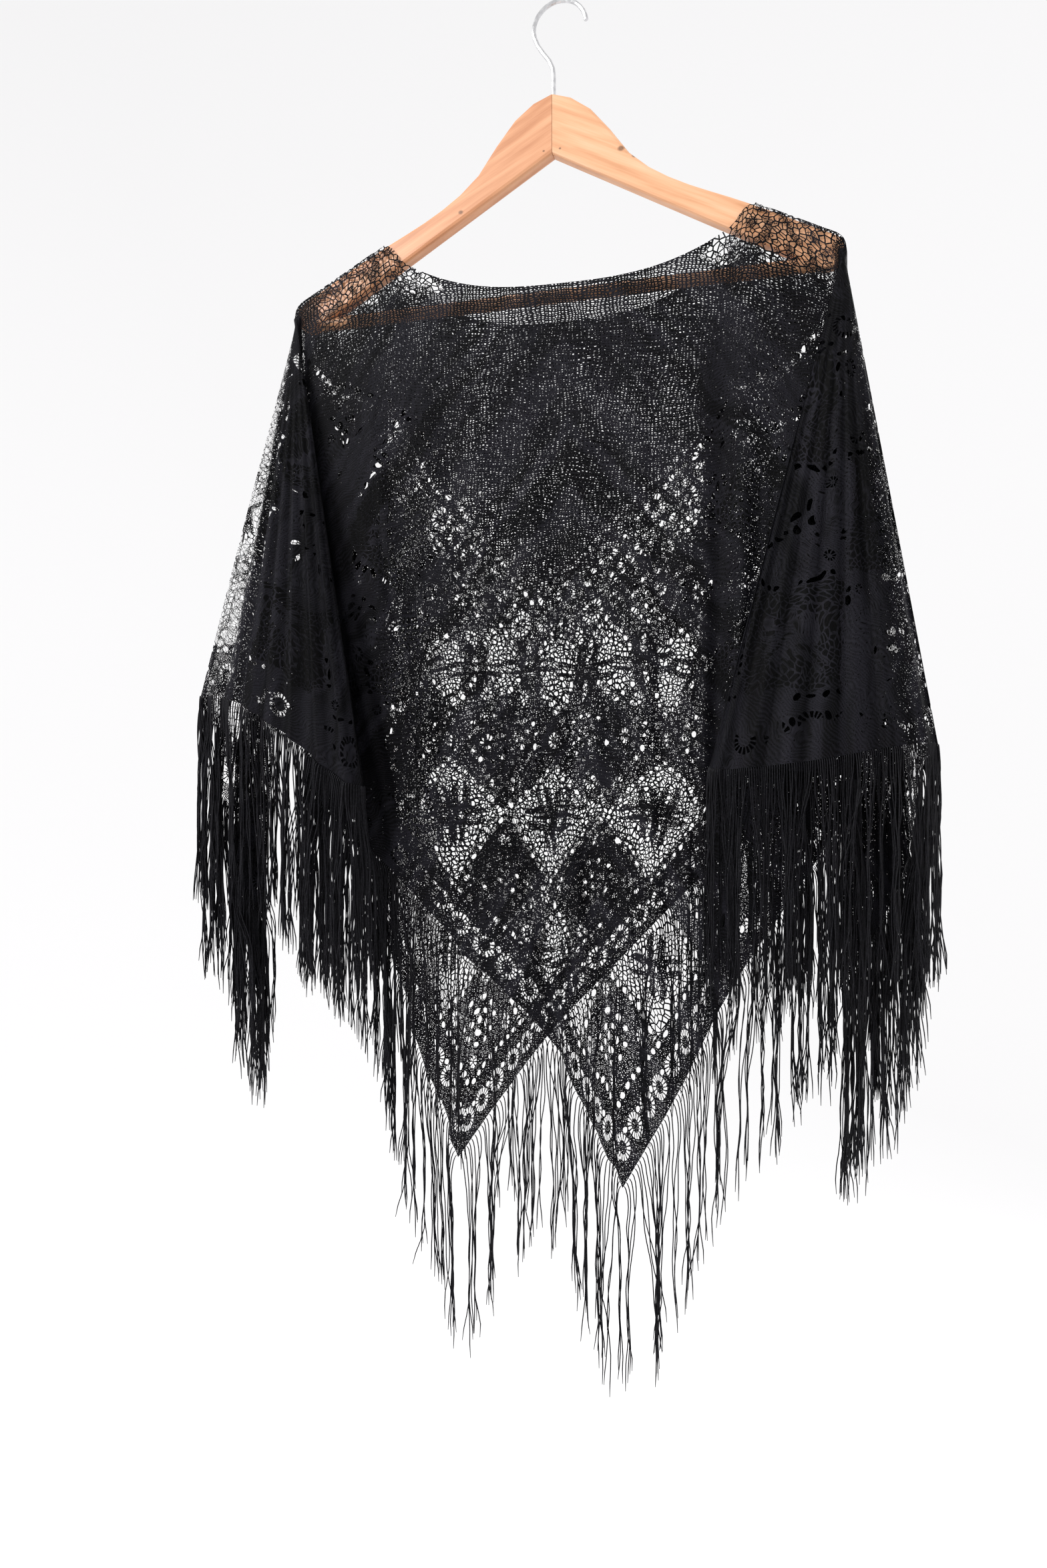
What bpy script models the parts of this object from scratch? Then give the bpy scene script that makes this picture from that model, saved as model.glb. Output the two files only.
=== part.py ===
"""A square lace poncho with a long fringe, hung by its boat neck on a wooden suit hanger.

Everything is modelled in the hanger's own frame: the origin there is the inner lower corner
of the hanger's middle, x runs along the hanger, the front faces -y and z is up. An empty
then carries it all so that the inside of the hook's top, where it hangs, is at the origin.

The cloth is one square hung on its diagonal. A place on it is given by `along`, the distance
along the hem from the tip of a panel (minus to the left), and `down`, the distance along the
thread that runs from the shoulder line to the hem there. Past the end of the hanger's arm the
threads fan out from the arm's end. All sizes are in metres.
"""

import math

import bmesh
import bpy
from mathutils import Vector

OBJECT_NAME = "lace_poncho_on_hanger"
SEAM_GAP = 0.0003

# Hanger
ARM_THICKNESS = 0.012
ARM_EDGE_ROUND = 0.0025
ARM_END_RADIUS = 0.0126
ARM_END_X = 0.2053
ARM_END_Z = -0.1027
ARM_END_STEPS = 7
ARM_LOWER_SLOPE = math.radians(29.7)
# Top edge of one arm, from the crown outwards
ARM_TOP = (
    # out, up
    (0.0000, 0.0465),
    (0.0100, 0.0438),
    (0.0220, 0.0365),
    (0.0350, 0.0255),
    (0.0480, 0.0085),
    (0.0600, -0.0080),
    (0.0740, -0.0205),
    (0.1000, -0.0365),
    (0.1480, -0.0590),
    (0.2111, -0.0915),
)
BAR_RADIUS = 0.0052
BAR_Z = -0.1095
BAR_HALF_LENGTH = 0.1975
BAR_SIDES = 14
SOCKET_DEPTH = 0.0004
WIRE_RADIUS = 0.00175
HOOK_CENTRE_X = 0.005
HOOK_CENTRE_Z = 0.100
HOOK_INSIDE_RADIUS = 0.0193
HOOK_TIP_ANGLE = math.radians(6)
HOOK_ARC_STEPS = 15
HOOK_BEND = (
    # x, z, from the screwed end up to the arc
    (0.0000, 0.0250),
    (0.0000, 0.0630),
    (-0.0006, 0.0690),
    (-0.0034, 0.0755),
    (-0.0082, 0.0820),
    (-0.0124, 0.0885),
    (-0.0151, 0.0950),
)
HOOK_SOCKET_RADIUS = 0.0022
HOOK_SOCKET_BOTTOM = 0.0240
HANG_POINT = Vector((HOOK_CENTRE_X, 0.0, HOOK_CENTRE_Z + HOOK_INSIDE_RADIUS))

# Cloth
WALL = 0.0010
HALF_DIAGONAL = 0.732
HEM_LENGTH = HALF_DIAGONAL * math.sqrt(2)
NECK_LEFT_X = -0.148
NECK_RIGHT_X = 0.163
NECK_MIDDLE_X = (NECK_LEFT_X + NECK_RIGHT_X) / 2
NECK_MIDDLE_Z = -0.0629
NECK_HALF = (NECK_RIGHT_X - NECK_LEFT_X) / 2
NECK_DIP_POWER = 2.8
NECK_DEPTH = {"front": 0.048, "back": 0.070}
FACING = {"front": -1, "back": 1}
SADDLE_HEIGHT = 0.0013
SADDLE_CORNER = (0.0067, 0.0070, 0.0006)
SADDLE_FOOT = (0.0133, 0.0078, -0.0055)
SIDE_SEAM_HALF = 0.0009
RIDGE_HALF = 0.00030
FOLD_SHARES = (0.03, 0.06)
ROUNDING = 0.5
SWING_POWER = 1.35
SWING_GONE_BY = math.radians(25)
EYELETS_PER_HALF = 56
HANG_ROWS = (0.11, 0.25, 0.45, 0.72)
NECK_SHARES = (0.0, 0.20, 0.40, 0.58, 0.74, 0.86)
SHOULDER_SHARES = (0.45, 1.0)
NARROWEST_CELL = 0.0085
NECK_LIFT_FULL = 0.010
NECK_LIFT_END = 0.026
FAN_FIRST_GAP = 0.018
FAN_TOLERANCE = 0.0001

# Row of large eyelets beside the hem
EYELET_BAND_OUTER = 0.030
EYELET_BAND_INNER = 0.054
EYELET_FROM_HEM = 0.041
EYELET_WIDTH = 0.0060
EYELET_HEIGHT = 0.0048

# Hem of each half panel, tip to side corner: the folds of the hanging cloth
HEMS = {
    ("front", "left"): (
        # along, x, y, z
        (0.000, 0.058, -0.020, -0.792),
        (0.090, 0.032, -0.026, -0.737),
        (0.163, 0.000, -0.024, -0.680),
        (0.240, -0.056, -0.030, -0.627),
        (0.314, -0.111, -0.022, -0.573),
        (0.366, -0.154, -0.017, -0.536),
        (0.405, -0.190, -0.014, -0.503),
        (0.432, -0.200, -0.026, -0.486),
        (0.458, -0.188, -0.038, -0.480),
        (0.505, -0.148, -0.041, -0.490),
        (0.532, -0.137, -0.053, -0.492),
        (0.558, -0.150, -0.065, -0.486),
        (0.612, -0.196, -0.067, -0.452),
        (0.680, -0.246, -0.060, -0.424),
        (0.735, -0.281, -0.044, -0.419),
        (0.765, -0.289, -0.029, -0.428),
        (0.815, -0.283, -0.013, -0.449),
        (0.870, -0.278, -0.030, -0.484),
        (0.930, -0.270, -0.010, -0.522),
        (0.985, -0.262, -0.020, -0.562),
        (HEM_LENGTH, -0.252, -SIDE_SEAM_HALF, -0.603),
    ),
    ("front", "right"): (
        # along, x, y, z
        (0.000, 0.058, -0.020, -0.792),
        (0.110, 0.100, -0.027, -0.716),
        (0.209, 0.135, -0.022, -0.644),
        (0.321, 0.185, -0.027, -0.564),
        (0.376, 0.209, -0.026, -0.526),
        (0.405, 0.222, -0.027, -0.504),
        (0.430, 0.226, -0.036, -0.490),
        (0.456, 0.213, -0.044, -0.484),
        (0.532, 0.138, -0.048, -0.478),
        (0.560, 0.125, -0.058, -0.478),
        (0.588, 0.138, -0.068, -0.480),
        (0.650, 0.196, -0.071, -0.474),
        (0.700, 0.240, -0.061, -0.466),
        (0.738, 0.270, -0.045, -0.462),
        (0.766, 0.277, -0.030, -0.464),
        (0.815, 0.268, -0.012, -0.478),
        (0.870, 0.263, -0.028, -0.510),
        (0.930, 0.257, -0.009, -0.552),
        (0.985, 0.238, -0.017, -0.594),
        (HEM_LENGTH, 0.214, -SIDE_SEAM_HALF, -0.640),
    ),
    ("back", "left"): (
        # along, x, y, z
        (0.000, -0.084, 0.015, -0.795),
        (0.060, -0.101, 0.023, -0.753),
        (0.120, -0.118, 0.015, -0.710),
        (0.177, -0.134, 0.029, -0.670),
        (0.250, -0.147, 0.018, -0.618),
        (0.325, -0.158, 0.026, -0.565),
        (0.370, -0.181, 0.023, -0.535),
        (0.410, -0.209, 0.023, -0.505),
        (0.436, -0.218, 0.034, -0.490),
        (0.462, -0.205, 0.045, -0.484),
        (0.510, -0.167, 0.047, -0.488),
        (0.536, -0.157, 0.058, -0.490),
        (0.562, -0.170, 0.069, -0.486),
        (0.620, -0.216, 0.069, -0.455),
        (0.685, -0.258, 0.060, -0.440),
        (0.730, -0.282, 0.050, -0.434),
        (0.765, -0.288, 0.038, -0.437),
        (0.815, -0.281, 0.018, -0.455),
        (0.870, -0.275, 0.032, -0.488),
        (0.930, -0.268, 0.010, -0.524),
        (0.985, -0.262, 0.019, -0.562),
        (HEM_LENGTH, -0.252, SIDE_SEAM_HALF, -0.603),
    ),
    ("back", "right"): (
        # along, x, y, z
        (0.000, -0.084, 0.015, -0.795),
        (0.080, -0.045, 0.024, -0.739),
        (0.157, -0.003, 0.018, -0.684),
        (0.230, 0.046, 0.027, -0.631),
        (0.307, 0.096, 0.021, -0.578),
        (0.350, 0.128, 0.022, -0.548),
        (0.400, 0.169, 0.022, -0.516),
        (0.434, 0.188, 0.024, -0.498),
        (0.460, 0.192, 0.035, -0.490),
        (0.486, 0.178, 0.046, -0.486),
        (0.545, 0.130, 0.049, -0.482),
        (0.572, 0.121, 0.060, -0.482),
        (0.600, 0.134, 0.071, -0.480),
        (0.655, 0.186, 0.070, -0.470),
        (0.705, 0.236, 0.060, -0.460),
        (0.742, 0.256, 0.048, -0.456),
        (0.775, 0.258, 0.036, -0.462),
        (0.820, 0.252, 0.019, -0.482),
        (0.875, 0.246, 0.031, -0.516),
        (0.935, 0.238, 0.009, -0.556),
        (0.988, 0.226, 0.017, -0.596),
        (HEM_LENGTH, 0.214, SIDE_SEAM_HALF, -0.640),
    ),
}

# Fringe
STRIP_GAP = 0.0008
STRIP_HEIGHT = 0.0026
STRIP_THICKNESS = 0.0012
ROOT_LENGTH = 0.0045
STRAND_LENGTH = 0.162
STRAND_LENGTH_SPREAD = 0.009
STRAND_SWAY = 0.003
STRAND_END_SCALE = 0.40
STRAND_CLEARANCE = 0.0034
STEEPEST_ROOT = 0.90

COLOURS = {
    # red, green, blue, roughness, metallic
    "lace": (0.012, 0.012, 0.016, 0.75, 0.0),
    "thread": (0.010, 0.010, 0.013, 0.70, 0.0),
    "wood": (0.86, 0.61, 0.38, 0.45, 0.0),
    "steel": (0.62, 0.62, 0.64, 0.28, 1.0),
}


def clear_scene():
    for old in list(bpy.data.objects):
        bpy.data.objects.remove(old)


def make_collection(name):
    collection = bpy.data.collections.new(name)
    bpy.context.scene.collection.children.link(collection)
    return collection


def make_material(name):
    red, green, blue, roughness, metallic = COLOURS[name]
    material = bpy.data.materials.new(name)
    material.use_nodes = True
    shader = material.node_tree.nodes["Principled BSDF"]
    shader.inputs["Base Color"].default_value = (red, green, blue, 1.0)
    shader.inputs["Roughness"].default_value = roughness
    shader.inputs["Metallic"].default_value = metallic
    return material


def smoothstep(value):
    value = min(max(value, 0.0), 1.0)
    return value * value * (3 - 2 * value)


def mix(start, end, share):
    return start + (end - start) * share


def slope_at(table, row):
    """Change of each column for each metre of the first one, at one row of a table."""
    before = table[max(row - 1, 0)]
    after = table[min(row + 1, len(table) - 1)]
    run = after[0] - before[0]
    return [(late - early) / run for early, late in zip(before[1:], after[1:])]


def read_table(table, place):
    """Values of a table at one place, on a smooth curve through its rows."""
    row = 0
    while row < len(table) - 2 and table[row + 1][0] < place:
        row += 1
    early = table[row]
    late = table[row + 1]
    run = late[0] - early[0]
    share = min(max((place - early[0]) / run, 0.0), 1.0)
    slopes = zip(early[1:], late[1:], slope_at(table, row), slope_at(table, row + 1))
    values = []
    for start, end, slope_out, slope_in in slopes:
        bend_out = slope_out * run * share * (1 - share) ** 2
        bend_in = slope_in * run * share ** 2 * (1 - share)
        values.append(mix(start, end, smoothstep(share)) + bend_out - bend_in)
    return values


def arm_end_point(angle):
    """A place on the arm's round end, with the angle up from level."""
    out = ARM_END_X + ARM_END_RADIUS * math.cos(angle)
    return out, ARM_END_Z + ARM_END_RADIUS * math.sin(angle)


def ridge_run(start_x):
    """Points with their normals on an arm's top edge, from the neck's end to the arm's tip."""
    line_start = (start_x, read_table(ARM_TOP, start_x)[0])
    end_angle = math.atan2(ARM_TOP[-1][1] - ARM_END_Z, ARM_TOP[-1][0] - ARM_END_X)
    points = [(line_start, end_angle), (ARM_TOP[-1], end_angle)]
    for step in range(1, ARM_END_STEPS + 1):
        angle = end_angle * (1 - step / ARM_END_STEPS)
        points.append((arm_end_point(angle), angle))
    return points


def walk_ridge(points, distance):
    """Place and normal's angle at a distance along the points of ridge_run."""
    for (start, start_angle), (end, end_angle) in zip(points, points[1:]):
        length = math.dist(start, end)
        if distance <= length:
            share = distance / length
            place = (mix(start[0], end[0], share), mix(start[1], end[1], share))
            return place, mix(start_angle, end_angle, share)
        distance -= length
    return points[-1]


class HalfPanel:
    """One half of the front or back cloth, from its middle to a side corner."""

    def __init__(self, panel, side):
        self.facing = FACING[panel]
        self.sign = -1 if side == "left" else 1
        self.hem = HEMS[(panel, side)]
        self.neck_depth = NECK_DEPTH[panel]
        neck_end = abs(NECK_LEFT_X if side == "left" else NECK_RIGHT_X)
        self.ridge = ridge_run(neck_end)
        ends = zip(self.ridge, self.ridge[1:])
        self.arm_reach = NECK_HALF + sum(math.dist(a[0], b[0]) for a, b in ends)
        self.fan_start = self.arm_reach * math.sqrt(2)
        self.fan_side = HALF_DIAGONAL - self.arm_reach

    def fan_angle(self, along):
        """Angle of a thread of the fan past the arm's end, and none before it."""
        share = (along - self.fan_start) / (HEM_LENGTH - self.fan_start)
        share = min(max(share, 0.0), 1.0)
        return math.atan2(share, 1 - share)

    def length(self, along):
        """Length of the thread from the shoulder line to the hem."""
        angle = self.fan_angle(along)
        if along <= self.fan_start:
            return HALF_DIAGONAL - along / math.sqrt(2)
        return self.fan_side / (math.cos(angle) + math.sin(angle))

    def across_band(self, along, from_hem):
        """Length on the thread that lies a given distance square to the hem."""
        return from_hem / math.cos(self.fan_angle(along) - math.pi / 4)

    def start(self, along):
        """Where the thread starts: the neck's cut edge, or the shoulder line."""
        across = along / math.sqrt(2)
        if across >= NECK_HALF:
            return 0.0
        return self.neck_depth * (1 - (across / NECK_HALF) ** NECK_DIP_POWER)

    def threads(self):
        """Hem distances of the threads that the coarse rows are drawn on."""
        straight = math.dist(self.ridge[0][0], self.ridge[1][0])
        arc = self.arm_reach - NECK_HALF - straight
        dip_share = 1 - SADDLE_CORNER[0] / self.neck_depth
        over_edge = dip_share ** (1 / NECK_DIP_POWER)
        across = [NECK_HALF * share for share in (*NECK_SHARES, over_edge, 1.0)]
        across += [NECK_HALF + straight * share for share in SHOULDER_SHARES]
        across += [NECK_HALF + straight + arc * step / 3 for step in (1, 2, 3)]
        fan = [row[0] for row in self.hem if row[0] > self.fan_start + FAN_FIRST_GAP]
        return [place * math.sqrt(2) for place in across] + fan

    def shoulder(self, along):
        """Place on the shoulder line, and the outward normal of the arm's top there."""
        across = along / math.sqrt(2)
        if across < NECK_HALF:
            end_x, end_z = self.ridge[0][0]
            middle_x = NECK_MIDDLE_X * self.sign
            share = across / NECK_HALF
            lean = mix(math.pi / 2, self.ridge[0][1], share ** 8)
            inside = NECK_HALF - across
            fading = (inside - NECK_LIFT_FULL) / (NECK_LIFT_END - NECK_LIFT_FULL)
            slope = math.tan(math.pi / 2 - self.ridge[0][1])
            lift = inside * slope * (1 - smoothstep(fading))
            height = mix(NECK_MIDDLE_Z, end_z, share) + lift
            place = Vector((self.sign * mix(middle_x, end_x, share), 0.0, height))
            return place, Vector((self.sign * math.cos(lean), 0.0, math.sin(lean)))
        (out, up), angle = walk_ridge(self.ridge, across - NECK_HALF)
        normal = Vector((self.sign * math.cos(angle), 0.0, math.sin(angle)))
        return Vector((self.sign * out, 0.0, up)), normal

    def saddle(self, along):
        """The three points where the cloth bends over the arm: top, corner and foot."""
        place, normal = self.shoulder(min(along, self.fan_start))
        angle = self.fan_angle(along)
        fold = self.fold(along)
        top = place + normal * SADDLE_HEIGHT
        top.y = self.facing * RIDGE_HALF
        points = [top]
        for share, (run, aside, height) in zip(FOLD_SHARES, (SADDLE_CORNER, SADDLE_FOOT)):
            point = place + normal * mix(height, SADDLE_HEIGHT, math.sin(angle))
            point.z -= run * math.sin(angle)
            point.y = self.facing * mix(SIDE_SEAM_HALF, aside, math.cos(angle) ** ROUNDING)
            points.append(point + fold * share)
        return points

    def hem_point(self, along):
        return Vector(read_table(self.hem, along))

    def fold(self, along):
        """How far the folds of the fan move its hem level from a straight run."""
        if along <= self.fan_start:
            return Vector((0.0, 0.0, 0.0))
        early = self.hem_point(self.fan_start)
        late = self.hem_point(HEM_LENGTH)
        share = (along - self.fan_start) / (HEM_LENGTH - self.fan_start)
        move = self.hem_point(along) - early.lerp(late, share)
        return Vector((0.0, move.y, 0.0))

    def place(self, along, down):
        """Point of the hanging cloth."""
        top, corner, foot = self.saddle(along)
        if down < SADDLE_CORNER[0]:
            return top.lerp(corner, down / SADDLE_CORNER[0])
        if down < SADDLE_FOOT[0]:
            run = SADDLE_FOOT[0] - SADDLE_CORNER[0]
            return corner.lerp(foot, (down - SADDLE_CORNER[0]) / run)
        share = (down - SADDLE_FOOT[0]) / (self.length(along) - SADDLE_FOOT[0])
        hem = self.hem_point(along)
        power = mix(SWING_POWER, 1.0, smoothstep(self.fan_angle(along) / SWING_GONE_BY))
        point = foot.lerp(hem, share)
        point.x = mix(foot.x, hem.x, share ** power)
        return point

    def coarse_rows(self, along):
        """Distances down the thread of the rows above the eyelet band."""
        start = self.start(along)
        foot = start + SADDLE_FOOT[0]
        inner = self.length(along) - self.across_band(along, EYELET_BAND_INNER)
        hanging = [mix(foot, inner, share) for share in HANG_ROWS]
        return [start, start + SADDLE_CORNER[0], foot] + hanging

    def band_rows(self, along):
        """Distances down the thread of the eyelet band's two edges and of the hem."""
        length = self.length(along)
        inner = length - self.across_band(along, EYELET_BAND_INNER)
        outer = length - self.across_band(along, EYELET_BAND_OUTER)
        return [inner, outer, length]


def band_stations():
    """Distances along the hem where the cells of the eyelet band meet, tip to corner."""
    return [HEM_LENGTH * step / EYELETS_PER_HALF for step in range(EYELETS_PER_HALF + 1)]


def add_cloth(name, panel, material, collection):
    """One panel: a folded open surface with its eyelets left out, thickened evenly."""
    left = HalfPanel(panel, "left")
    right = HalfPanel(panel, "right")
    mesh = bmesh.new()
    turn = FACING[panel] < 0
    upper = [(-along, left, left.coarse_rows(along)) for along in reversed(left.threads()[1:])]
    upper += [(along, right, right.coarse_rows(along)) for along in right.threads()]
    lower = [(-along, left, left.band_rows(along)) for along in reversed(band_stations()[1:])]
    lower += [(along, right, right.band_rows(along)) for along in band_stations()]
    coarse = add_columns(mesh, upper)
    band = add_columns(mesh, lower)
    for first, second in zip(coarse, coarse[1:]):
        for row in range(len(first) - 1):
            corners = [first[row], first[row + 1], second[row + 1], second[row]]
            add_face(mesh, corners, turn)
    zip_rows(mesh, [column[-1] for column in coarse], [station for station, _, _ in upper],
             [column[0] for column in band], [station for station, _, _ in lower], turn)
    for first, second in zip(band, band[1:]):
        add_eyelet(mesh, [first[0], first[1], second[1], second[0]], turn)
        add_face(mesh, [first[1], first[2], second[2], second[1]], turn)
    panel_mesh = bpy.data.meshes.new(name)
    mesh.to_mesh(panel_mesh)
    mesh.free()
    panel_object = add_object(name, panel_mesh, material, collection)
    shell = panel_object.modifiers.new("wall", "SOLIDIFY")
    shell.thickness = WALL
    shell.offset = 0.0
    shell.use_rim = True
    return panel_object


def add_columns(mesh, columns):
    """Vertices down each thread; the threads of a fan share their first one."""
    made = []
    shared = {}
    for station, half, downs in columns:
        points = [half.place(abs(station), down) for down in downs]
        vertices = []
        for down, point in zip(downs, points):
            fanned = down == 0.0 and abs(station) >= half.fan_start - FAN_TOLERANCE
            if fanned and half.sign in shared:
                vertices.append(shared[half.sign])
                continue
            vertices.append(mesh.verts.new(point))
            if fanned:
                shared[half.sign] = vertices[-1]
        made.append(vertices)
    return made


def zip_rows(mesh, above, above_at, below, below_at, turn):
    """Triangles between two rows of vertices that are spaced differently along the hem."""
    high = 0
    low = 0
    while high < len(above) - 1 or low < len(below) - 1:
        at_end = low == len(below) - 1
        next_high = above_at[min(high + 1, len(above) - 1)]
        next_low = below_at[min(low + 1, len(below) - 1)]
        if at_end or (high < len(above) - 1 and next_high <= next_low):
            add_face(mesh, [above[high], below[low], above[high + 1]], turn)
            high += 1
        else:
            add_face(mesh, [above[high], below[low], below[low + 1]], turn)
            low += 1


def add_face(mesh, corners, turn):
    """A face from its corners, each named once, turned to face out of the garment."""
    kept = []
    for corner in corners:
        if corner not in kept:
            kept.append(corner)
    if turn:
        kept.reverse()
    mesh.faces.new(kept)


def add_eyelet(mesh, cell, turn):
    """Four faces round one eyelet in a cell of the band."""
    inner_left, outer_left, outer_right, inner_right = [corner.co for corner in cell]
    band = EYELET_BAND_INNER - EYELET_BAND_OUTER
    middle = (EYELET_BAND_INNER - EYELET_FROM_HEM) / band
    half_height = EYELET_HEIGHT / 2 / band
    chord = mix(inner_right, outer_right, middle) - mix(inner_left, outer_left, middle)
    thread = (outer_left - inner_left).normalized()
    if (chord - thread * chord.dot(thread)).length < NARROWEST_CELL:
        add_face(mesh, cell, turn)
        return
    width = chord.length
    half_width = EYELET_WIDTH / 2 / width
    hole = []
    for side, end in ((-1, -1), (-1, 1), (1, 1), (1, -1)):
        height = middle + end * half_height
        left = mix(inner_left, outer_left, height)
        right = mix(inner_right, outer_right, height)
        hole.append(mesh.verts.new(left.lerp(right, 0.5 + side * half_width)))
    for corner in range(4):
        after = (corner + 1) % 4
        add_face(mesh, [cell[corner], cell[after], hole[after], hole[corner]], turn)


def add_object(name, mesh, material, collection):
    thing = bpy.data.objects.new(name, mesh)
    mesh.materials.append(material)
    collection.objects.link(thing)
    return thing


def hem_frames(half):
    """Points of one half's hem with the direction of its edge and out of the cloth."""
    stations = band_stations()
    points = [half.place(along, half.length(along)) for along in stations]
    inner = []
    for along in stations:
        inner.append(half.place(along, half.length(along) - half.across_band(along, EYELET_BAND_OUTER)))
    edges = []
    leans = []
    last = len(points) - 1
    for index, point in enumerate(points):
        edge = (points[min(index + 1, last)] - points[max(index - 1, 0)]).normalized()
        thread = (point - inner[index]).normalized()
        edges.append(edge)
        leans.append(thread - edge * thread.dot(edge))
    frames = []
    for index, (point, edge) in enumerate(zip(points, edges)):
        frames.append((point, edge, leans[index].normalized()))
    return frames


def strand_hangs_clear(root, length, roots, hem_points):
    """True where a strand hung from the root meets no other strand or stretch of hem."""
    for other in roots:
        apart = math.hypot(root.x - other.x, root.y - other.y)
        if apart < STRAND_CLEARANCE and abs(root.z - other.z) < length:
            return False
    for start, end in zip(hem_points, hem_points[1:]):
        for share in (0.0, 0.25, 0.5, 0.75):
            point = start.lerp(end, share)
            apart = math.hypot(root.x - point.x, root.y - point.y)
            below = root.z - point.z
            if apart < STRAND_CLEARANCE and STRIP_HEIGHT * 2 < below < length:
                return False
    return True


def strip_section(point, edge, out):
    """Four corners of the strip's section: its upper and lower edge, inside and outside."""
    across = edge.cross(out) * (STRIP_THICKNESS / 2)
    near = point + out * STRIP_GAP
    far = point + out * (STRIP_GAP + STRIP_HEIGHT)
    return [near - across, near + across, far + across, far - across]


def add_fringe(name, panel, side, material, collection):
    """A narrow strip under one half's hem, with its strands drawn down out of it."""
    half = HalfPanel(panel, side)
    frames = hem_frames(half)
    hem_points = [frame[0] for frame in frames]
    sections = []
    strands = []
    roots = []
    for index in range(len(frames) - 1):
        point, edge, out = frames[index]
        after, edge_after, out_after = frames[index + 1]
        chord = (after - point)
        length = STRAND_LENGTH + STRAND_LENGTH_SPREAD * math.sin(index * 2.3)
        from_share = 0.5 - ROOT_LENGTH / 2 / chord.length
        root = point.lerp(after, 0.5)
        sections.append((point, edge, out))
        steep = abs(chord.normalized().z) > STEEPEST_ROOT
        if steep or not strand_hangs_clear(root, length, roots, hem_points):
            continue
        roots.append(root)
        chord_out = out.lerp(out_after, 0.5).normalized()
        strands.append((len(sections), length, index))
        for share in (from_share, 1 - from_share):
            sections.append((point.lerp(after, share), chord.normalized(), chord_out))
    sections.append(frames[-1])
    mesh = bmesh.new()
    rings = [[mesh.verts.new(corner) for corner in strip_section(*section)] for section in sections]
    root_rings = {start: (length, index) for start, length, index in strands}
    for number, (ring, following) in enumerate(zip(rings, rings[1:])):
        for corner in range(4):
            after = (corner + 1) % 4
            quad = [ring[corner], ring[after], following[after], following[corner]]
            if corner == 2 and number in root_rings:
                add_strand(mesh, quad, *root_rings[number])
            else:
                mesh.faces.new(quad)
    mesh.faces.new(rings[0][::-1])
    mesh.faces.new(rings[-1])
    bmesh.ops.recalc_face_normals(mesh, faces=mesh.faces)
    fringe_mesh = bpy.data.meshes.new(name)
    mesh.to_mesh(fringe_mesh)
    mesh.free()
    return add_object(name, fringe_mesh, material, collection)


def add_strand(mesh, root, length, index):
    """One strand with four sides, hung from the four corners of its root in the strip."""
    middle = sum((corner.co for corner in root), Vector()) / 4
    sway = Vector((math.sin(index * 1.7), 0.4 * math.cos(index * 2.9), 0.0)) * STRAND_SWAY
    drop = sway - Vector((0.0, 0.0, length))
    end = []
    for corner in root:
        offset = (corner.co - middle) * STRAND_END_SCALE
        offset.z = 0.0
        end.append(mesh.verts.new(middle + offset + drop))
    for number in range(4):
        after = (number + 1) % 4
        mesh.faces.new([root[number], root[after], end[after], end[number]])
    mesh.faces.new(end)


def hanger_outline():
    """Closed outline of the whole hanger seen from the front, as pairs of x and z."""
    top = []
    steps = 14
    for step in range(1, steps):
        out = ARM_TOP[-1][0] * step / steps
        top.append((out, read_table(ARM_TOP, out)[0]))
    top.append(ARM_TOP[-1])
    start_angle = math.atan2(ARM_TOP[-1][1] - ARM_END_Z, ARM_TOP[-1][0] - ARM_END_X)
    end_angle = -math.pi / 2 - ARM_LOWER_SLOPE
    for step in range(1, ARM_END_STEPS + 1):
        top.append(arm_end_point(mix(start_angle, end_angle, step / ARM_END_STEPS)))
    right = top
    left = [(-out, up) for out, up in reversed(top)]
    return [(0.0, ARM_TOP[0][1])] + right + [(0.0, 0.0)] + left


def curve_object(name, curve, collection):
    thing = bpy.data.objects.new(name, curve)
    collection.objects.link(thing)
    return thing


def add_spline(curve, points, closed):
    spline = curve.splines.new("POLY")
    spline.points.add(len(points) - 1)
    for target, point in zip(spline.points, points):
        target.co = (*point, 1.0)
    spline.use_cyclic_u = closed
    return spline


def hanger_mesh(collection):
    """The whole hanger with rounded edges, before it is cut in two at the middle."""
    curve = bpy.data.curves.new("hanger_outline", "CURVE")
    curve.dimensions = "2D"
    curve.fill_mode = "BOTH"
    curve.extrude = ARM_THICKNESS / 2 - ARM_EDGE_ROUND
    curve.bevel_depth = ARM_EDGE_ROUND
    curve.bevel_resolution = 1
    curve.offset = -ARM_EDGE_ROUND
    add_spline(curve, [(x, z, 0.0) for x, z in hanger_outline()], True)
    guide = curve_object("hanger_outline", curve, collection)
    guide.rotation_euler = (math.pi / 2, 0.0, 0.0)
    bpy.context.view_layer.update()
    evaluated = guide.evaluated_get(bpy.context.evaluated_depsgraph_get())
    mesh = bpy.data.meshes.new_from_object(evaluated)
    mesh.transform(guide.matrix_world)
    bpy.data.objects.remove(guide)
    return mesh


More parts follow.
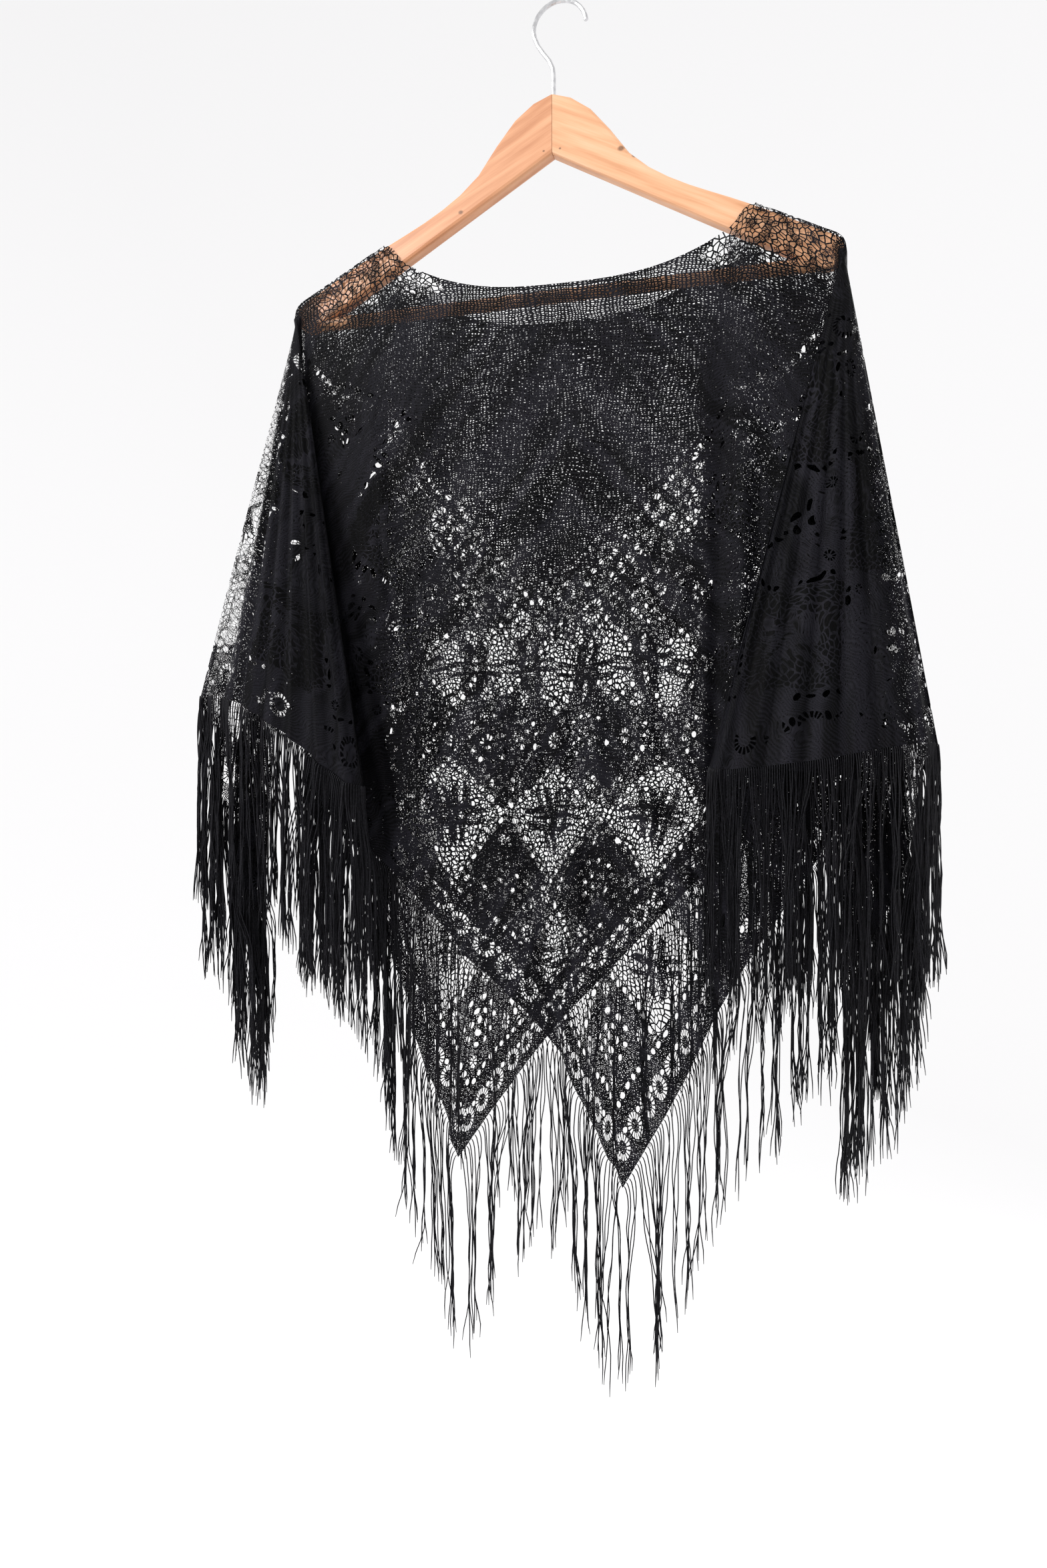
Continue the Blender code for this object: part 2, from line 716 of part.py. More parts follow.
def add_arm(name, whole, sign, material, collection):
    """One half of the hanger, with a flat face at the middle seam."""
    mesh = bmesh.new()
    mesh.from_mesh(whole)
    bmesh.ops.remove_doubles(mesh, verts=mesh.verts, dist=0.00001)
    plane = Vector((sign * SEAM_GAP / 2, 0.0, 0.0))
    parts = mesh.verts[:] + mesh.edges[:] + mesh.faces[:]
    cut = bmesh.ops.bisect_plane(
        mesh, geom=parts, plane_co=plane, plane_no=(sign, 0.0, 0.0), clear_inner=True)
    rim = [part for part in cut["geom_cut"] if isinstance(part, bmesh.types.BMEdge)]
    bmesh.ops.holes_fill(mesh, edges=rim)
    bmesh.ops.recalc_face_normals(mesh, faces=mesh.faces)
    arm_mesh = bpy.data.meshes.new(name)
    mesh.to_mesh(arm_mesh)
    mesh.free()
    return add_object(name, arm_mesh, material, collection)


def add_cutter(name, radius, start, end, collection):
    """A round cutter from one point to another."""
    axis = end - start
    bpy.ops.mesh.primitive_cylinder_add(
        vertices=BAR_SIDES, radius=radius, depth=axis.length, location=(start + end) / 2)
    cutter = bpy.context.object
    cutter.name = name
    cutter.rotation_euler = axis.to_track_quat("Z", "Y").to_euler()
    cutter.hide_render = True
    cutter.display_type = "WIRE"
    for holder in list(cutter.users_collection):
        holder.objects.unlink(cutter)
    collection.objects.link(cutter)
    return cutter


def cut_with(thing, cutter):
    cut = thing.modifiers.new(cutter.name, "BOOLEAN")
    cut.operation = "DIFFERENCE"
    cut.solver = "EXACT"
    cut.object = cutter


def add_bar(material, collection):
    bar = add_cutter("trouser_bar", BAR_RADIUS, Vector((-BAR_HALF_LENGTH, 0.0, BAR_Z)),
                     Vector((BAR_HALF_LENGTH, 0.0, BAR_Z)), collection)
    bar.hide_render = False
    bar.display_type = "TEXTURED"
    bar.data.materials.append(material)
    bar.data.shade_smooth()
    return bar


def hook_points():
    """The wire's centre line, from its end in the wood to the hook's tip."""
    radius = HOOK_INSIDE_RADIUS + WIRE_RADIUS
    points = [(x, 0.0, z) for x, z in HOOK_BEND]
    for step in range(HOOK_ARC_STEPS + 1):
        angle = mix(math.pi, HOOK_TIP_ANGLE, step / HOOK_ARC_STEPS)
        x = HOOK_CENTRE_X + radius * math.cos(angle)
        points.append((x, 0.0, HOOK_CENTRE_Z + radius * math.sin(angle)))
    return points


def add_hook(material, collection):
    curve = bpy.data.curves.new("hanger_hook", "CURVE")
    curve.dimensions = "3D"
    curve.bevel_depth = WIRE_RADIUS
    curve.bevel_resolution = 2
    curve.use_fill_caps = True
    add_spline(curve, hook_points(), False)
    curve.materials.append(material)
    return curve_object("hanger_hook", curve, collection)


def add_hanger(parts, cutters):
    wood = make_material("wood")
    whole = hanger_mesh(parts)
    socket_reach = BAR_HALF_LENGTH + SOCKET_DEPTH
    bar_socket = add_cutter(
        "bar_socket", BAR_RADIUS + SOCKET_DEPTH, Vector((-socket_reach, 0.0, BAR_Z)),
        Vector((socket_reach, 0.0, BAR_Z)), cutters)
    hook_socket = add_cutter(
        "hook_socket", HOOK_SOCKET_RADIUS, Vector((0.0, 0.0, HOOK_SOCKET_BOTTOM)),
        Vector((0.0, 0.0, ARM_TOP[0][1] + ARM_THICKNESS)), cutters)
    arms = []
    for side, sign in (("left", -1), ("right", 1)):
        arm = add_arm(f"hanger_arm_{side}", whole, sign, wood, parts)
        cut_with(arm, bar_socket)
        cut_with(arm, hook_socket)
        arms.append(arm)
    bpy.data.meshes.remove(whole)
    bar = add_bar(wood, parts)
    hook = add_hook(make_material("steel"), parts)
    return arms + [bar, hook, bar_socket, hook_socket]


def main():
    clear_scene()
    parts = make_collection(OBJECT_NAME)
    cutters = make_collection("cutters")
    things = add_hanger(parts, cutters)
    lace = make_material("lace")
    thread = make_material("thread")
    for panel in ("front", "back"):
        things.append(add_cloth(f"poncho_{panel}", panel, lace, parts))
        for side in ("left", "right"):
            name = f"fringe_{panel}_{side}"
            things.append(add_fringe(name, panel, side, thread, parts))
    hanger_frame = bpy.data.objects.new("hanger_frame", None)
    parts.objects.link(hanger_frame)
    hanger_frame.location = -HANG_POINT
    for thing in things:
        thing.parent = hanger_frame


main()
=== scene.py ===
"""Looks of the black fringed lace poncho on its wooden hanger.

The cloth is drawn again in small steps from the same form as its solids. Every point of it
also keeps its place on the flat square. `flat` holds the place from the middle of the shoulder
line, x across and y up, and how far the lace is gathered there. `hem` holds the distance along
the hem from the panel's tip, the distance from the hem, and the distance from the neck's edge.
The lace is worked out from these two, in millimetres, so it keeps its true size in every fold.
Sizes are in metres where nothing else is said.
"""

import math
import random

import bmesh
import bpy
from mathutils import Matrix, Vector, noise

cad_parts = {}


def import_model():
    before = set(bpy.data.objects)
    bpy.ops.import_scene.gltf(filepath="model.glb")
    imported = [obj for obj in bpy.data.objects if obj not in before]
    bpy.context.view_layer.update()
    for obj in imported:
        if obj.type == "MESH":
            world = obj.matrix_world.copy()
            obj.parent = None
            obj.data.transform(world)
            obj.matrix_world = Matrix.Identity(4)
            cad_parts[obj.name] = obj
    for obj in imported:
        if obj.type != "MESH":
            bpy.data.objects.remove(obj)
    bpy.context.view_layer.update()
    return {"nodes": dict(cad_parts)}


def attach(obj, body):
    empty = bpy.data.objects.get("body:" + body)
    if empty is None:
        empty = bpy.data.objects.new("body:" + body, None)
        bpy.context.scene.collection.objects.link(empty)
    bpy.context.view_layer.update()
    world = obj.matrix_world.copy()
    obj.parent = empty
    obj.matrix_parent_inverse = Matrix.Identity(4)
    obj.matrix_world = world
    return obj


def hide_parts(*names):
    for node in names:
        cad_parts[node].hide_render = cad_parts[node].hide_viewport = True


# Inside of the hook's top, which is the origin of every finished piece
HANG_POINT = Vector((0.005, 0.0, 0.1193))
# Hanger and cloth, in a frame of their own with the hanger's middle at x = 0
ARM_END_RADIUS = 0.0126
ARM_END_X = 0.2053
ARM_END_Z = -0.1027
ARM_END_STEPS = 7
ARM_SLOPE = math.radians(27)
# Top edge of one arm, from the crown outwards
ARM_TOP = (
    # out, up
    (0.0000, 0.0465),
    (0.0100, 0.0438),
    (0.0220, 0.0365),
    (0.0350, 0.0255),
    (0.0480, 0.0085),
    (0.0600, -0.0080),
    (0.0740, -0.0205),
    (0.1000, -0.0365),
    (0.1480, -0.0590),
    (0.2111, -0.0915),
)
# Knots in the wood, from the finished pieces' origin
KNOTS = (
    # x, z, radius
    (0.0492, -0.1246, 0.0021),
    (0.0595, -0.1312, 0.0017),
    (-0.0793, -0.1553, 0.0016),
)
# Pin holes, drawn as dark spots: painted shade of holes that have no depth in the mesh
PIN_HOLES = (
    # x, z, radius
    (-0.0115, -0.1172, 0.0008),
    (0.0015, -0.1172, 0.0008),
)

# Cloth form
HALF_DIAGONAL = 0.732
HEM_LENGTH = HALF_DIAGONAL * math.sqrt(2)
NECK_LEFT_X = -0.148
NECK_RIGHT_X = 0.163
NECK_MIDDLE_X = (NECK_LEFT_X + NECK_RIGHT_X) / 2
NECK_MIDDLE_Z = -0.0629
NECK_HALF = (NECK_RIGHT_X - NECK_LEFT_X) / 2
NECK_DIP_POWER = 2.8
NECK_DEPTH = {"front": 0.048, "back": 0.070}
FACING = {"front": -1, "back": 1}
SADDLE_HEIGHT = 0.0013
SADDLE_CORNER = (0.0067, 0.0070, 0.0006)
SADDLE_FOOT = (0.0133, 0.0078, -0.0055)
SIDE_SEAM_HALF = 0.00015
RIDGE_HALF = 0.00015
FOLD_SHARES = (0.03, 0.06)
ROUNDING = 0.5
SWING_POWER = 1.35
SWING_GONE_BY = math.radians(25)
NECK_LIFT_FULL = 0.010
NECK_LIFT_END = 0.026

# Fineness of the drawn cloth
THREAD_STEP = 0.0052
SADDLE_ROWS = (0.0, 0.33, 0.67, 1.0, 1.5, 2.0)
HANGING_ROWS = 110

# Small folds that the solids leave out
RIPPLES = (
    # height, length of a wave, shift, place down the cloth where it is full
    (0.0024, 0.046, 0.3, 0.55),
    (0.0016, 0.029, 1.9, 0.80),
    (0.0009, 0.017, 4.1, 0.95),
)
PLEATS = (
    # height, length of a wave along the hem, shift, place down the cloth where it is full
    (0.0030, 0.0260, 0.0, 0.70),
    (0.0013, 0.0141, 1.3, 0.85),
)
# Where the pleats of the fan fade, from each of its ends
PLEAT_FADE = 0.030

# Hem of each half panel, tip to side corner: the folds of the hanging cloth
HEMS = {
    ("front", "left"): (
        # along, x, y, z
        (0.000, 0.058, -0.020, -0.792),
        (0.090, 0.032, -0.026, -0.737),
        (0.163, 0.000, -0.024, -0.680),
        (0.240, -0.056, -0.030, -0.627),
        (0.314, -0.111, -0.022, -0.573),
        (0.366, -0.154, -0.017, -0.536),
        (0.405, -0.190, -0.014, -0.503),
        (0.432, -0.200, -0.026, -0.486),
        (0.458, -0.188, -0.038, -0.480),
        (0.505, -0.148, -0.041, -0.490),
        (0.532, -0.137, -0.053, -0.492),
        (0.558, -0.150, -0.065, -0.486),
        (0.612, -0.196, -0.067, -0.452),
        (0.680, -0.246, -0.060, -0.424),
        (0.735, -0.281, -0.044, -0.419),
        (0.765, -0.289, -0.029, -0.428),
        (0.815, -0.283, -0.013, -0.449),
        (0.870, -0.278, -0.030, -0.484),
        (0.930, -0.270, -0.010, -0.522),
        (0.985, -0.262, -0.020, -0.562),
        (HEM_LENGTH, -0.252, -SIDE_SEAM_HALF, -0.603),
    ),
    ("front", "right"): (
        # along, x, y, z
        (0.000, 0.058, -0.020, -0.792),
        (0.110, 0.100, -0.027, -0.716),
        (0.209, 0.135, -0.022, -0.644),
        (0.321, 0.185, -0.027, -0.564),
        (0.376, 0.209, -0.026, -0.526),
        (0.405, 0.222, -0.027, -0.504),
        (0.430, 0.226, -0.036, -0.490),
        (0.456, 0.213, -0.044, -0.484),
        (0.532, 0.138, -0.048, -0.478),
        (0.560, 0.125, -0.058, -0.478),
        (0.588, 0.138, -0.068, -0.480),
        (0.650, 0.196, -0.071, -0.474),
        (0.700, 0.240, -0.061, -0.466),
        (0.738, 0.270, -0.045, -0.462),
        (0.766, 0.277, -0.030, -0.464),
        (0.815, 0.268, -0.012, -0.478),
        (0.870, 0.263, -0.028, -0.510),
        (0.930, 0.257, -0.009, -0.552),
        (0.985, 0.238, -0.017, -0.594),
        (HEM_LENGTH, 0.214, -SIDE_SEAM_HALF, -0.640),
    ),
    ("back", "left"): (
        # along, x, y, z
        (0.000, -0.084, 0.015, -0.795),
        (0.060, -0.101, 0.023, -0.753),
        (0.120, -0.118, 0.015, -0.710),
        (0.177, -0.134, 0.029, -0.670),
        (0.250, -0.147, 0.018, -0.618),
        (0.325, -0.158, 0.026, -0.565),
        (0.370, -0.181, 0.023, -0.535),
        (0.410, -0.209, 0.023, -0.505),
        (0.436, -0.218, 0.034, -0.490),
        (0.462, -0.205, 0.045, -0.484),
        (0.510, -0.167, 0.047, -0.488),
        (0.536, -0.157, 0.058, -0.490),
        (0.562, -0.170, 0.069, -0.486),
        (0.620, -0.216, 0.069, -0.455),
        (0.685, -0.258, 0.060, -0.440),
        (0.730, -0.282, 0.050, -0.434),
        (0.765, -0.288, 0.038, -0.437),
        (0.815, -0.281, 0.018, -0.455),
        (0.870, -0.275, 0.032, -0.488),
        (0.930, -0.268, 0.010, -0.524),
        (0.985, -0.262, 0.019, -0.562),
        (HEM_LENGTH, -0.252, SIDE_SEAM_HALF, -0.603),
    ),
    ("back", "right"): (
        # along, x, y, z
        (0.000, -0.084, 0.015, -0.795),
        (0.080, -0.045, 0.024, -0.739),
        (0.157, -0.003, 0.018, -0.684),
        (0.230, 0.046, 0.027, -0.631),
        (0.307, 0.096, 0.021, -0.578),
        (0.350, 0.128, 0.022, -0.548),
        (0.400, 0.169, 0.022, -0.516),
        (0.434, 0.188, 0.024, -0.498),
        (0.460, 0.192, 0.035, -0.490),
        (0.486, 0.178, 0.046, -0.486),
        (0.545, 0.130, 0.049, -0.482),
        (0.572, 0.121, 0.060, -0.482),
        (0.600, 0.134, 0.071, -0.480),
        (0.655, 0.186, 0.070, -0.470),
        (0.705, 0.236, 0.060, -0.460),
        (0.742, 0.256, 0.048, -0.456),
        (0.775, 0.258, 0.036, -0.462),
        (0.820, 0.252, 0.019, -0.482),
        (0.875, 0.246, 0.031, -0.516),
        (0.935, 0.238, 0.009, -0.556),
        (0.988, 0.226, 0.017, -0.596),
        (HEM_LENGTH, 0.214, SIDE_SEAM_HALF, -0.640),
    ),
}

# How much the lace is drawn together (1) or pulled open (-1) past the arm's end
GATHERS = {
    -1: (
        # along, gather
        (0.000, 0.0),
        (0.330, 0.0),
        (0.400, 1.0),
        (0.665, 1.0),
        (0.700, -0.6),
        (0.730, -1.0),
        (HEM_LENGTH, -1.0),
    ),
    1: (
        # along, gather
        (0.000, 0.0),
        (0.330, 0.0),
        (0.400, 1.0),
        (0.700, 1.0),
        (0.760, 0.3),
        (0.860, 0.4),
        (HEM_LENGTH, 0.4),
    ),
}
# How much the hanging cloth bunches to each side of the middle
BUNCHES = {
    -1: (
        # out, gather
        (0.000, 0.0),
        (0.088, 0.0),
        (0.108, 0.45),
        (0.136, 0.50),
        (0.148, 0.95),
        (0.400, 0.95),
    ),
    1: (
        # out, gather
        (0.000, 0.0),
        (0.108, 0.0),
        (0.121, 0.85),
        (0.150, 0.55),
        (0.190, 0.90),
        (0.400, 0.90),
    ),
}
# Distance kept where no neck edge is near
NO_NECK = 1.0

# Fringe. The strands stand closer past the two distances of STRAND_PITCH_CHANGE from the tip
STRAND_PITCH = (0.0050, 0.0016)
STRAND_PITCH_CHANGE = (0.20, 0.34)
STRAND_LENGTH = 0.165
STRAND_RADIUS = 0.00050
STRAND_STEPS = 22
STRAND_SIDES = 3
ARCH_REACH = 0.0052
ARCH_RISE = 0.0016
ARCH_LENGTH = 0.006
BUNCH_SIZE = 7
BUNCH_LEAN = 0.0055
# Where along a strand it has met its bunch, and where its end forks away again
STRAND_MEET = (0.35, 0.75)
FORK = 0.0050
FORK_FROM = 0.74
# Sideways wander of a strand, and how fast it changes downwards
KINK = 0.0026
KINK_RATE = 34
FRINGE_SEED = 11

# Lace, in millimetres on the flat cloth. First the rows beside the hem
EYELET_PITCH = HEM_LENGTH * 1000 / 112
EYELET_FROM_HEM = 41.0
EYELET_HALF = (2.7, 2.3)
SMALL_EYELET_HALF = (2.6, 2.2)
# Core, reach and number of gaps of a daisy
DAISY = (5.0, 9.3, 16)
DAISY_PITCH = 24.0
DAISY_FROM_HEM = 18.5
BETWEEN_FROM_HEM = 24.0
# Squares, counted from the same distance from the tip and from the hem
SQUARE = 79.0
SQUARES_START = 40.0
SQUARES_FROM_HEM = 46.0
SQUARES_TO = 277.0
SQUARE_EDGE = 4.2
EDGE_HOLE_PITCH = 8.78
EDGE_HOLE_HALF = (2.9, 2.4)
# Doubled bars of a cross: the inner and outer side of a bar, and where it ends
CROSS_UPRIGHT = (2.3, 8.6, 27.0)
CROSS_LEVEL = (2.4, 6.4, 31.0)
# Flower of a close square: its core, then radius, number and size of the holes of its rings
FLOWER_CORE = 2.4
FLOWER_RINGS = ((8.6, 6, 2.5), (18.5, 11, 2.2))
POSY = (2.6, 5.8, 9)
POSY_FROM_MIDDLE = 25.0
# Band of daisies between two rows of eyelets, inside the squares
BAND_TO = 317.0
BAND_MIDDLE = 297.0
BAND_EYELETS_ASIDE = 15.5
BAND_EYELET_PITCH = 8.6
# Width and height of a cell, how uneven the cells are, and ribs and courses of the knit
MESH_CELL = (1.5, 1.5)
NET_CELL = (4.6, 4.1)
GROUND_CELL = (2.9, 1.65)
NET_UNEVEN = 0.85
GROUND_UNEVEN = 0.5
RIB_PITCH = 5.6
RIB_HALF = 0.24
COURSE_PITCH = 3.3
COURSE_HALF = 0.36
# Pitch of the painted highlights along the knit's stitch rows
STITCH_HIGHLIGHT_PITCH = 2.4
# The looser net over the wood: how near the hem and the middle, and where its ragged edge is
SHOULDER_FROM_HEM = 418.0
SHOULDER_FROM_MIDDLE = 214.0
SHOULDER_HEIGHT = -27.0
SHOULDER_RAGGED = 34.0
NECK_EDGE = 3.2
# How far the pattern is pulled out of true, and how near the hem that starts to fade
PULL = 24.0
BUNCHED_PULL = 30.0
PULL_FADE = 60.0
# A second place to read the clouds at, this far aside of the first
CLOUDS_ASIDE = 900.0

# Half thickness of the threads, in cells
GROUND_THREAD = 0.257
CLOSE_THREAD = 0.265
CROSS_THREAD = 0.33
EDGE_THREAD = 0.25
BAND_THREAD = 0.25
HEM_THREAD = 0.33
NECK_THREAD = 0.30
NET_THREAD = 0.116
THINNEST_NET_THREAD = 0.040
SHOULDER_NET_THREAD = 0.115
SHOULDER_MESH_THREAD = 0.16
# Half width, in cells, of the near-black fill of bunched cloth: painted shade of the layers behind
PAINTED_SHADE_HALF_IN_BUNCHES = 0.44
# Changes of it in light patches, in streaks and in opened cloth, and the net's share of them
PATCH_THINNER = 0.055
STREAK_THICKER = 0.05
OPENED_THINNER = 0.24
OPENED_BORDER_THINNER = 0.09
NET_SHARE = 0.6

# Clouds that vary the lace: their scale, and the values where they start and are full
PULL_CLOUDS = 0.018
PATCH_CLOUDS = 0.017
PATCHES = (0.42, 0.64)
STREAK_CLOUDS = (0.085, 0.006)
STREAKS = (0.46, 0.66)
# The next two make painted shade: dark bands down the folds of the lace
PAINTED_FOLD_SHADE_CLOUDS = (0.055, 0.004)
PAINTED_FOLD_SHADE = (0.38, 0.66)
RAGGED_CLOUDS = 0.06
LUMP_CLOUDS = 0.11
LUMPS_FROM = 0.52
CREASE_CLOUDS = 0.035
CREASES_FROM = 0.47
CREASED_FROM = 0.4
TWIST_CLOUDS = 0.9
# Shares of the threads' uneven twist, the painted shade of the folds and the painted highlights of the
# stitch rows in the shade
SHADE_SHARES = (0.30, 0.42, 0.28)

# Colours, with their places on a ramp where there is more than one
# Dark and light ends of the lace: painted shade in its folds, painted highlights on its stitch rows, and
# the twist's uneven tone
LACE_TONES_AND_PAINTED_SHADE = ((0.22, (0.0010, 0.0010, 0.0013)), (0.82, (0.0135, 0.0130, 0.0175)))
# Near-black fill of bunched cloth: painted shade of the close layers behind its net
PAINTED_SHADE_BEHIND_LACE = (0.0006, 0.0006, 0.0008, 1.0)
THREAD_TONES = ((0.35, (0.003, 0.003, 0.004)), (0.65, (0.012, 0.0115, 0.015)))
STEEL_TONES = ((0.35, (0.56, 0.56, 0.57)), (0.65, (0.72, 0.72, 0.73)))
GRAIN_STOPS = (0.30, 0.52, 0.70)
# The left arm's wood: a darker copy of the pale wood, painted shade of the arm turned from the light
PAINTED_SHADE_WOOD = ((0.46, 0.175, 0.070), (0.64, 0.30, 0.150), (0.71, 0.38, 0.205))
PALE_WOOD = ((0.57, 0.25, 0.108), (0.76, 0.40, 0.216), (0.83, 0.48, 0.290))
# Colour of the spots: the knots' own darker wood, and painted shade in the pin holes
KNOT_TONE_AND_HOLE_SHADE = (0.16, 0.07, 0.03, 1.0)
STUDIO_WHITE = (0.935, 0.930, 0.936, 1.0)

# Wood: how often grain and fibre repeat in a metre along and across, and their shares
GRAIN_SCALE = (7.0, 95.0)
FIBRE_SCALE = (30.0, 900.0)
GRAIN_SHARE = 0.8
# A spot's height to its width, its full and faded reach in its radius, and its darkest share
SPOT_SQUASH = 1.25
SPOT_REACH = (0.6, 1.7)
SPOT_DARKEST = 0.85

CAMERA_PLACE = (0.1837, -0.795, -0.6093)
CAMERA_TURN = math.radians(15)
CAMERA_LENS = 24.0
SENSOR = 36.0
FLOOR_Z = -2.0
STAGE_RADIUS = 4.6
STAGE_SWEEP = 1.6
STAGE_TOP = 7.0
SWEEP_STEPS = 12
STAGE_SIDES = 96
WORLD_STRENGTH = 0.95
LIGHT_AIM = (0.0, 0.0, -0.5)
LIGHTS = (
    # name, place, size, energy
    ("key", (-1.5, -1.7, 0.9), 0.9, 48.0),
    ("back_fill", (1.2, 2.0, 0.5), 1.4, 20.0),
)


def smoothstep(value):
    value = min(max(value, 0.0), 1.0)
    return value * value * (3 - 2 * value)


def mix(start, end, share):
    return start + (end - start) * share


def slope_at(table, row):
    """Change of each column for each metre of the first one, at one row of a table."""
    before = table[max(row - 1, 0)]
    after = table[min(row + 1, len(table) - 1)]
    run = after[0] - before[0]
    return [(late - early) / run for early, late in zip(before[1:], after[1:])]


def read_table(table, place):
    """Values of a table at one place, on a smooth curve through its rows."""
    row = 0
    while row < len(table) - 2 and table[row + 1][0] < place:
        row += 1
    early = table[row]
    late = table[row + 1]
    run = late[0] - early[0]
    share = min(max((place - early[0]) / run, 0.0), 1.0)
    slopes = zip(early[1:], late[1:], slope_at(table, row), slope_at(table, row + 1))
    values = []
    for start, end, slope_out, slope_in in slopes:
        bend_out = slope_out * run * share * (1 - share) ** 2
        bend_in = slope_in * run * share ** 2 * (1 - share)
        values.append(mix(start, end, smoothstep(share)) + bend_out - bend_in)
    return values


def arm_end_point(angle):
    """A place on the arm's round end, with the angle up from level."""
    out = ARM_END_X + ARM_END_RADIUS * math.cos(angle)
    return out, ARM_END_Z + ARM_END_RADIUS * math.sin(angle)


def ridge_run(start_x):
    """Points with their normals on an arm's top edge, from the neck's end to the arm's tip."""
    line_start = (start_x, read_table(ARM_TOP, start_x)[0])
    end_angle = math.atan2(ARM_TOP[-1][1] - ARM_END_Z, ARM_TOP[-1][0] - ARM_END_X)
    points = [(line_start, end_angle), (ARM_TOP[-1], end_angle)]
    for step in range(1, ARM_END_STEPS + 1):
        angle = end_angle * (1 - step / ARM_END_STEPS)
        points.append((arm_end_point(angle), angle))
    return points


def walk_ridge(points, distance):
    """Place and normal's angle at a distance along the points of ridge_run."""
    for (start, start_angle), (end, end_angle) in zip(points, points[1:]):
        length = math.dist(start, end)
        if distance <= length:
            share = distance / length
            place = (mix(start[0], end[0], share), mix(start[1], end[1], share))
            return place, mix(start_angle, end_angle, share)
        distance -= length
    return points[-1]


class HalfPanel:
    """One half of the front or back cloth, from its middle to a side corner."""

    def __init__(self, panel, side):
        self.facing = FACING[panel]
        self.sign = -1 if side == "left" else 1
        self.hem = HEMS[(panel, side)]
        self.neck_depth = NECK_DEPTH[panel]
        neck_end = abs(NECK_LEFT_X if side == "left" else NECK_RIGHT_X)
        self.ridge = ridge_run(neck_end)
        ends = zip(self.ridge, self.ridge[1:])
        self.arm_reach = NECK_HALF + sum(math.dist(a[0], b[0]) for a, b in ends)
        self.fan_start = self.arm_reach * math.sqrt(2)
        self.fan_side = HALF_DIAGONAL - self.arm_reach

    def fan_angle(self, along):
        """Angle of a thread of the fan past the arm's end, and none before it."""
        share = (along - self.fan_start) / (HEM_LENGTH - self.fan_start)
        share = min(max(share, 0.0), 1.0)
        return math.atan2(share, 1 - share)

    def length(self, along):
        """Length of the thread from the shoulder line to the hem."""
        angle = self.fan_angle(along)
        if along <= self.fan_start:
            return HALF_DIAGONAL - along / math.sqrt(2)
        return self.fan_side / (math.cos(angle) + math.sin(angle))

    def start(self, along):
        """Where the thread starts: the neck's cut edge, or the shoulder line."""
        across = along / math.sqrt(2)
        if across >= NECK_HALF:
            return 0.0
        return self.neck_depth * (1 - (across / NECK_HALF) ** NECK_DIP_POWER)

    def shoulder(self, along):
        """Place on the shoulder line, and the outward normal of the arm's top there."""
        across = along / math.sqrt(2)
        if across < NECK_HALF:
            end_x, end_z = self.ridge[0][0]
            middle_x = NECK_MIDDLE_X * self.sign
            share = across / NECK_HALF
            lean = mix(math.pi / 2, self.ridge[0][1], share ** 8)
            inside = NECK_HALF - across
            fading = (inside - NECK_LIFT_FULL) / (NECK_LIFT_END - NECK_LIFT_FULL)
            slope = math.tan(math.pi / 2 - self.ridge[0][1])
            lift = inside * slope * (1 - smoothstep(fading))
            height = mix(NECK_MIDDLE_Z, end_z, share) + lift
            place = Vector((self.sign * mix(middle_x, end_x, share), 0.0, height))
            return place, Vector((self.sign * math.cos(lean), 0.0, math.sin(lean)))
        (out, up), angle = walk_ridge(self.ridge, across - NECK_HALF)
        normal = Vector((self.sign * math.cos(angle), 0.0, math.sin(angle)))
        return Vector((self.sign * out, 0.0, up)), normal

    def saddle(self, along):
        """The three points where the cloth bends over the arm: top, corner and foot."""
        place, normal = self.shoulder(min(along, self.fan_start))
        angle = self.fan_angle(along)
        fold = self.fold(along)
        top = place + normal * SADDLE_HEIGHT
        top.y = self.facing * RIDGE_HALF
        points = [top]
        for share, (run, aside, height) in zip(FOLD_SHARES, (SADDLE_CORNER, SADDLE_FOOT)):
            point = place + normal * mix(height, SADDLE_HEIGHT, math.sin(angle))
            point.z -= run * math.sin(angle)
            point.y = self.facing * mix(SIDE_SEAM_HALF, aside, math.cos(angle) ** ROUNDING)
            points.append(point + fold * share)
        return points

    def hem_point(self, along):
        return Vector(read_table(self.hem, along))

    def fold(self, along):
        """How far the folds of the fan move its hem forward from a straight run."""
        if along <= self.fan_start:
            return Vector((0.0, 0.0, 0.0))
        early = self.hem_point(self.fan_start)
        late = self.hem_point(HEM_LENGTH)
        share = (along - self.fan_start) / (HEM_LENGTH - self.fan_start)
        move = self.hem_point(along) - early.lerp(late, share)
        return Vector((0.0, move.y, 0.0))

    def place(self, along, down):
        """Point of the hanging cloth."""
        top, corner, foot = self.saddle(along)
        if down < SADDLE_CORNER[0]:
            return top.lerp(corner, down / SADDLE_CORNER[0])
        if down < SADDLE_FOOT[0]:
            run = SADDLE_FOOT[0] - SADDLE_CORNER[0]
            return corner.lerp(foot, (down - SADDLE_CORNER[0]) / run)
        share = (down - SADDLE_FOOT[0]) / (self.length(along) - SADDLE_FOOT[0])
        hem = self.hem_point(along)
        power = mix(SWING_POWER, 1.0, smoothstep(self.fan_angle(along) / SWING_GONE_BY))
        point = foot.lerp(hem, share)
        point.x = mix(foot.x, hem.x, share ** power)
        point.y += self.facing * self.ripple(along, share)
        return point

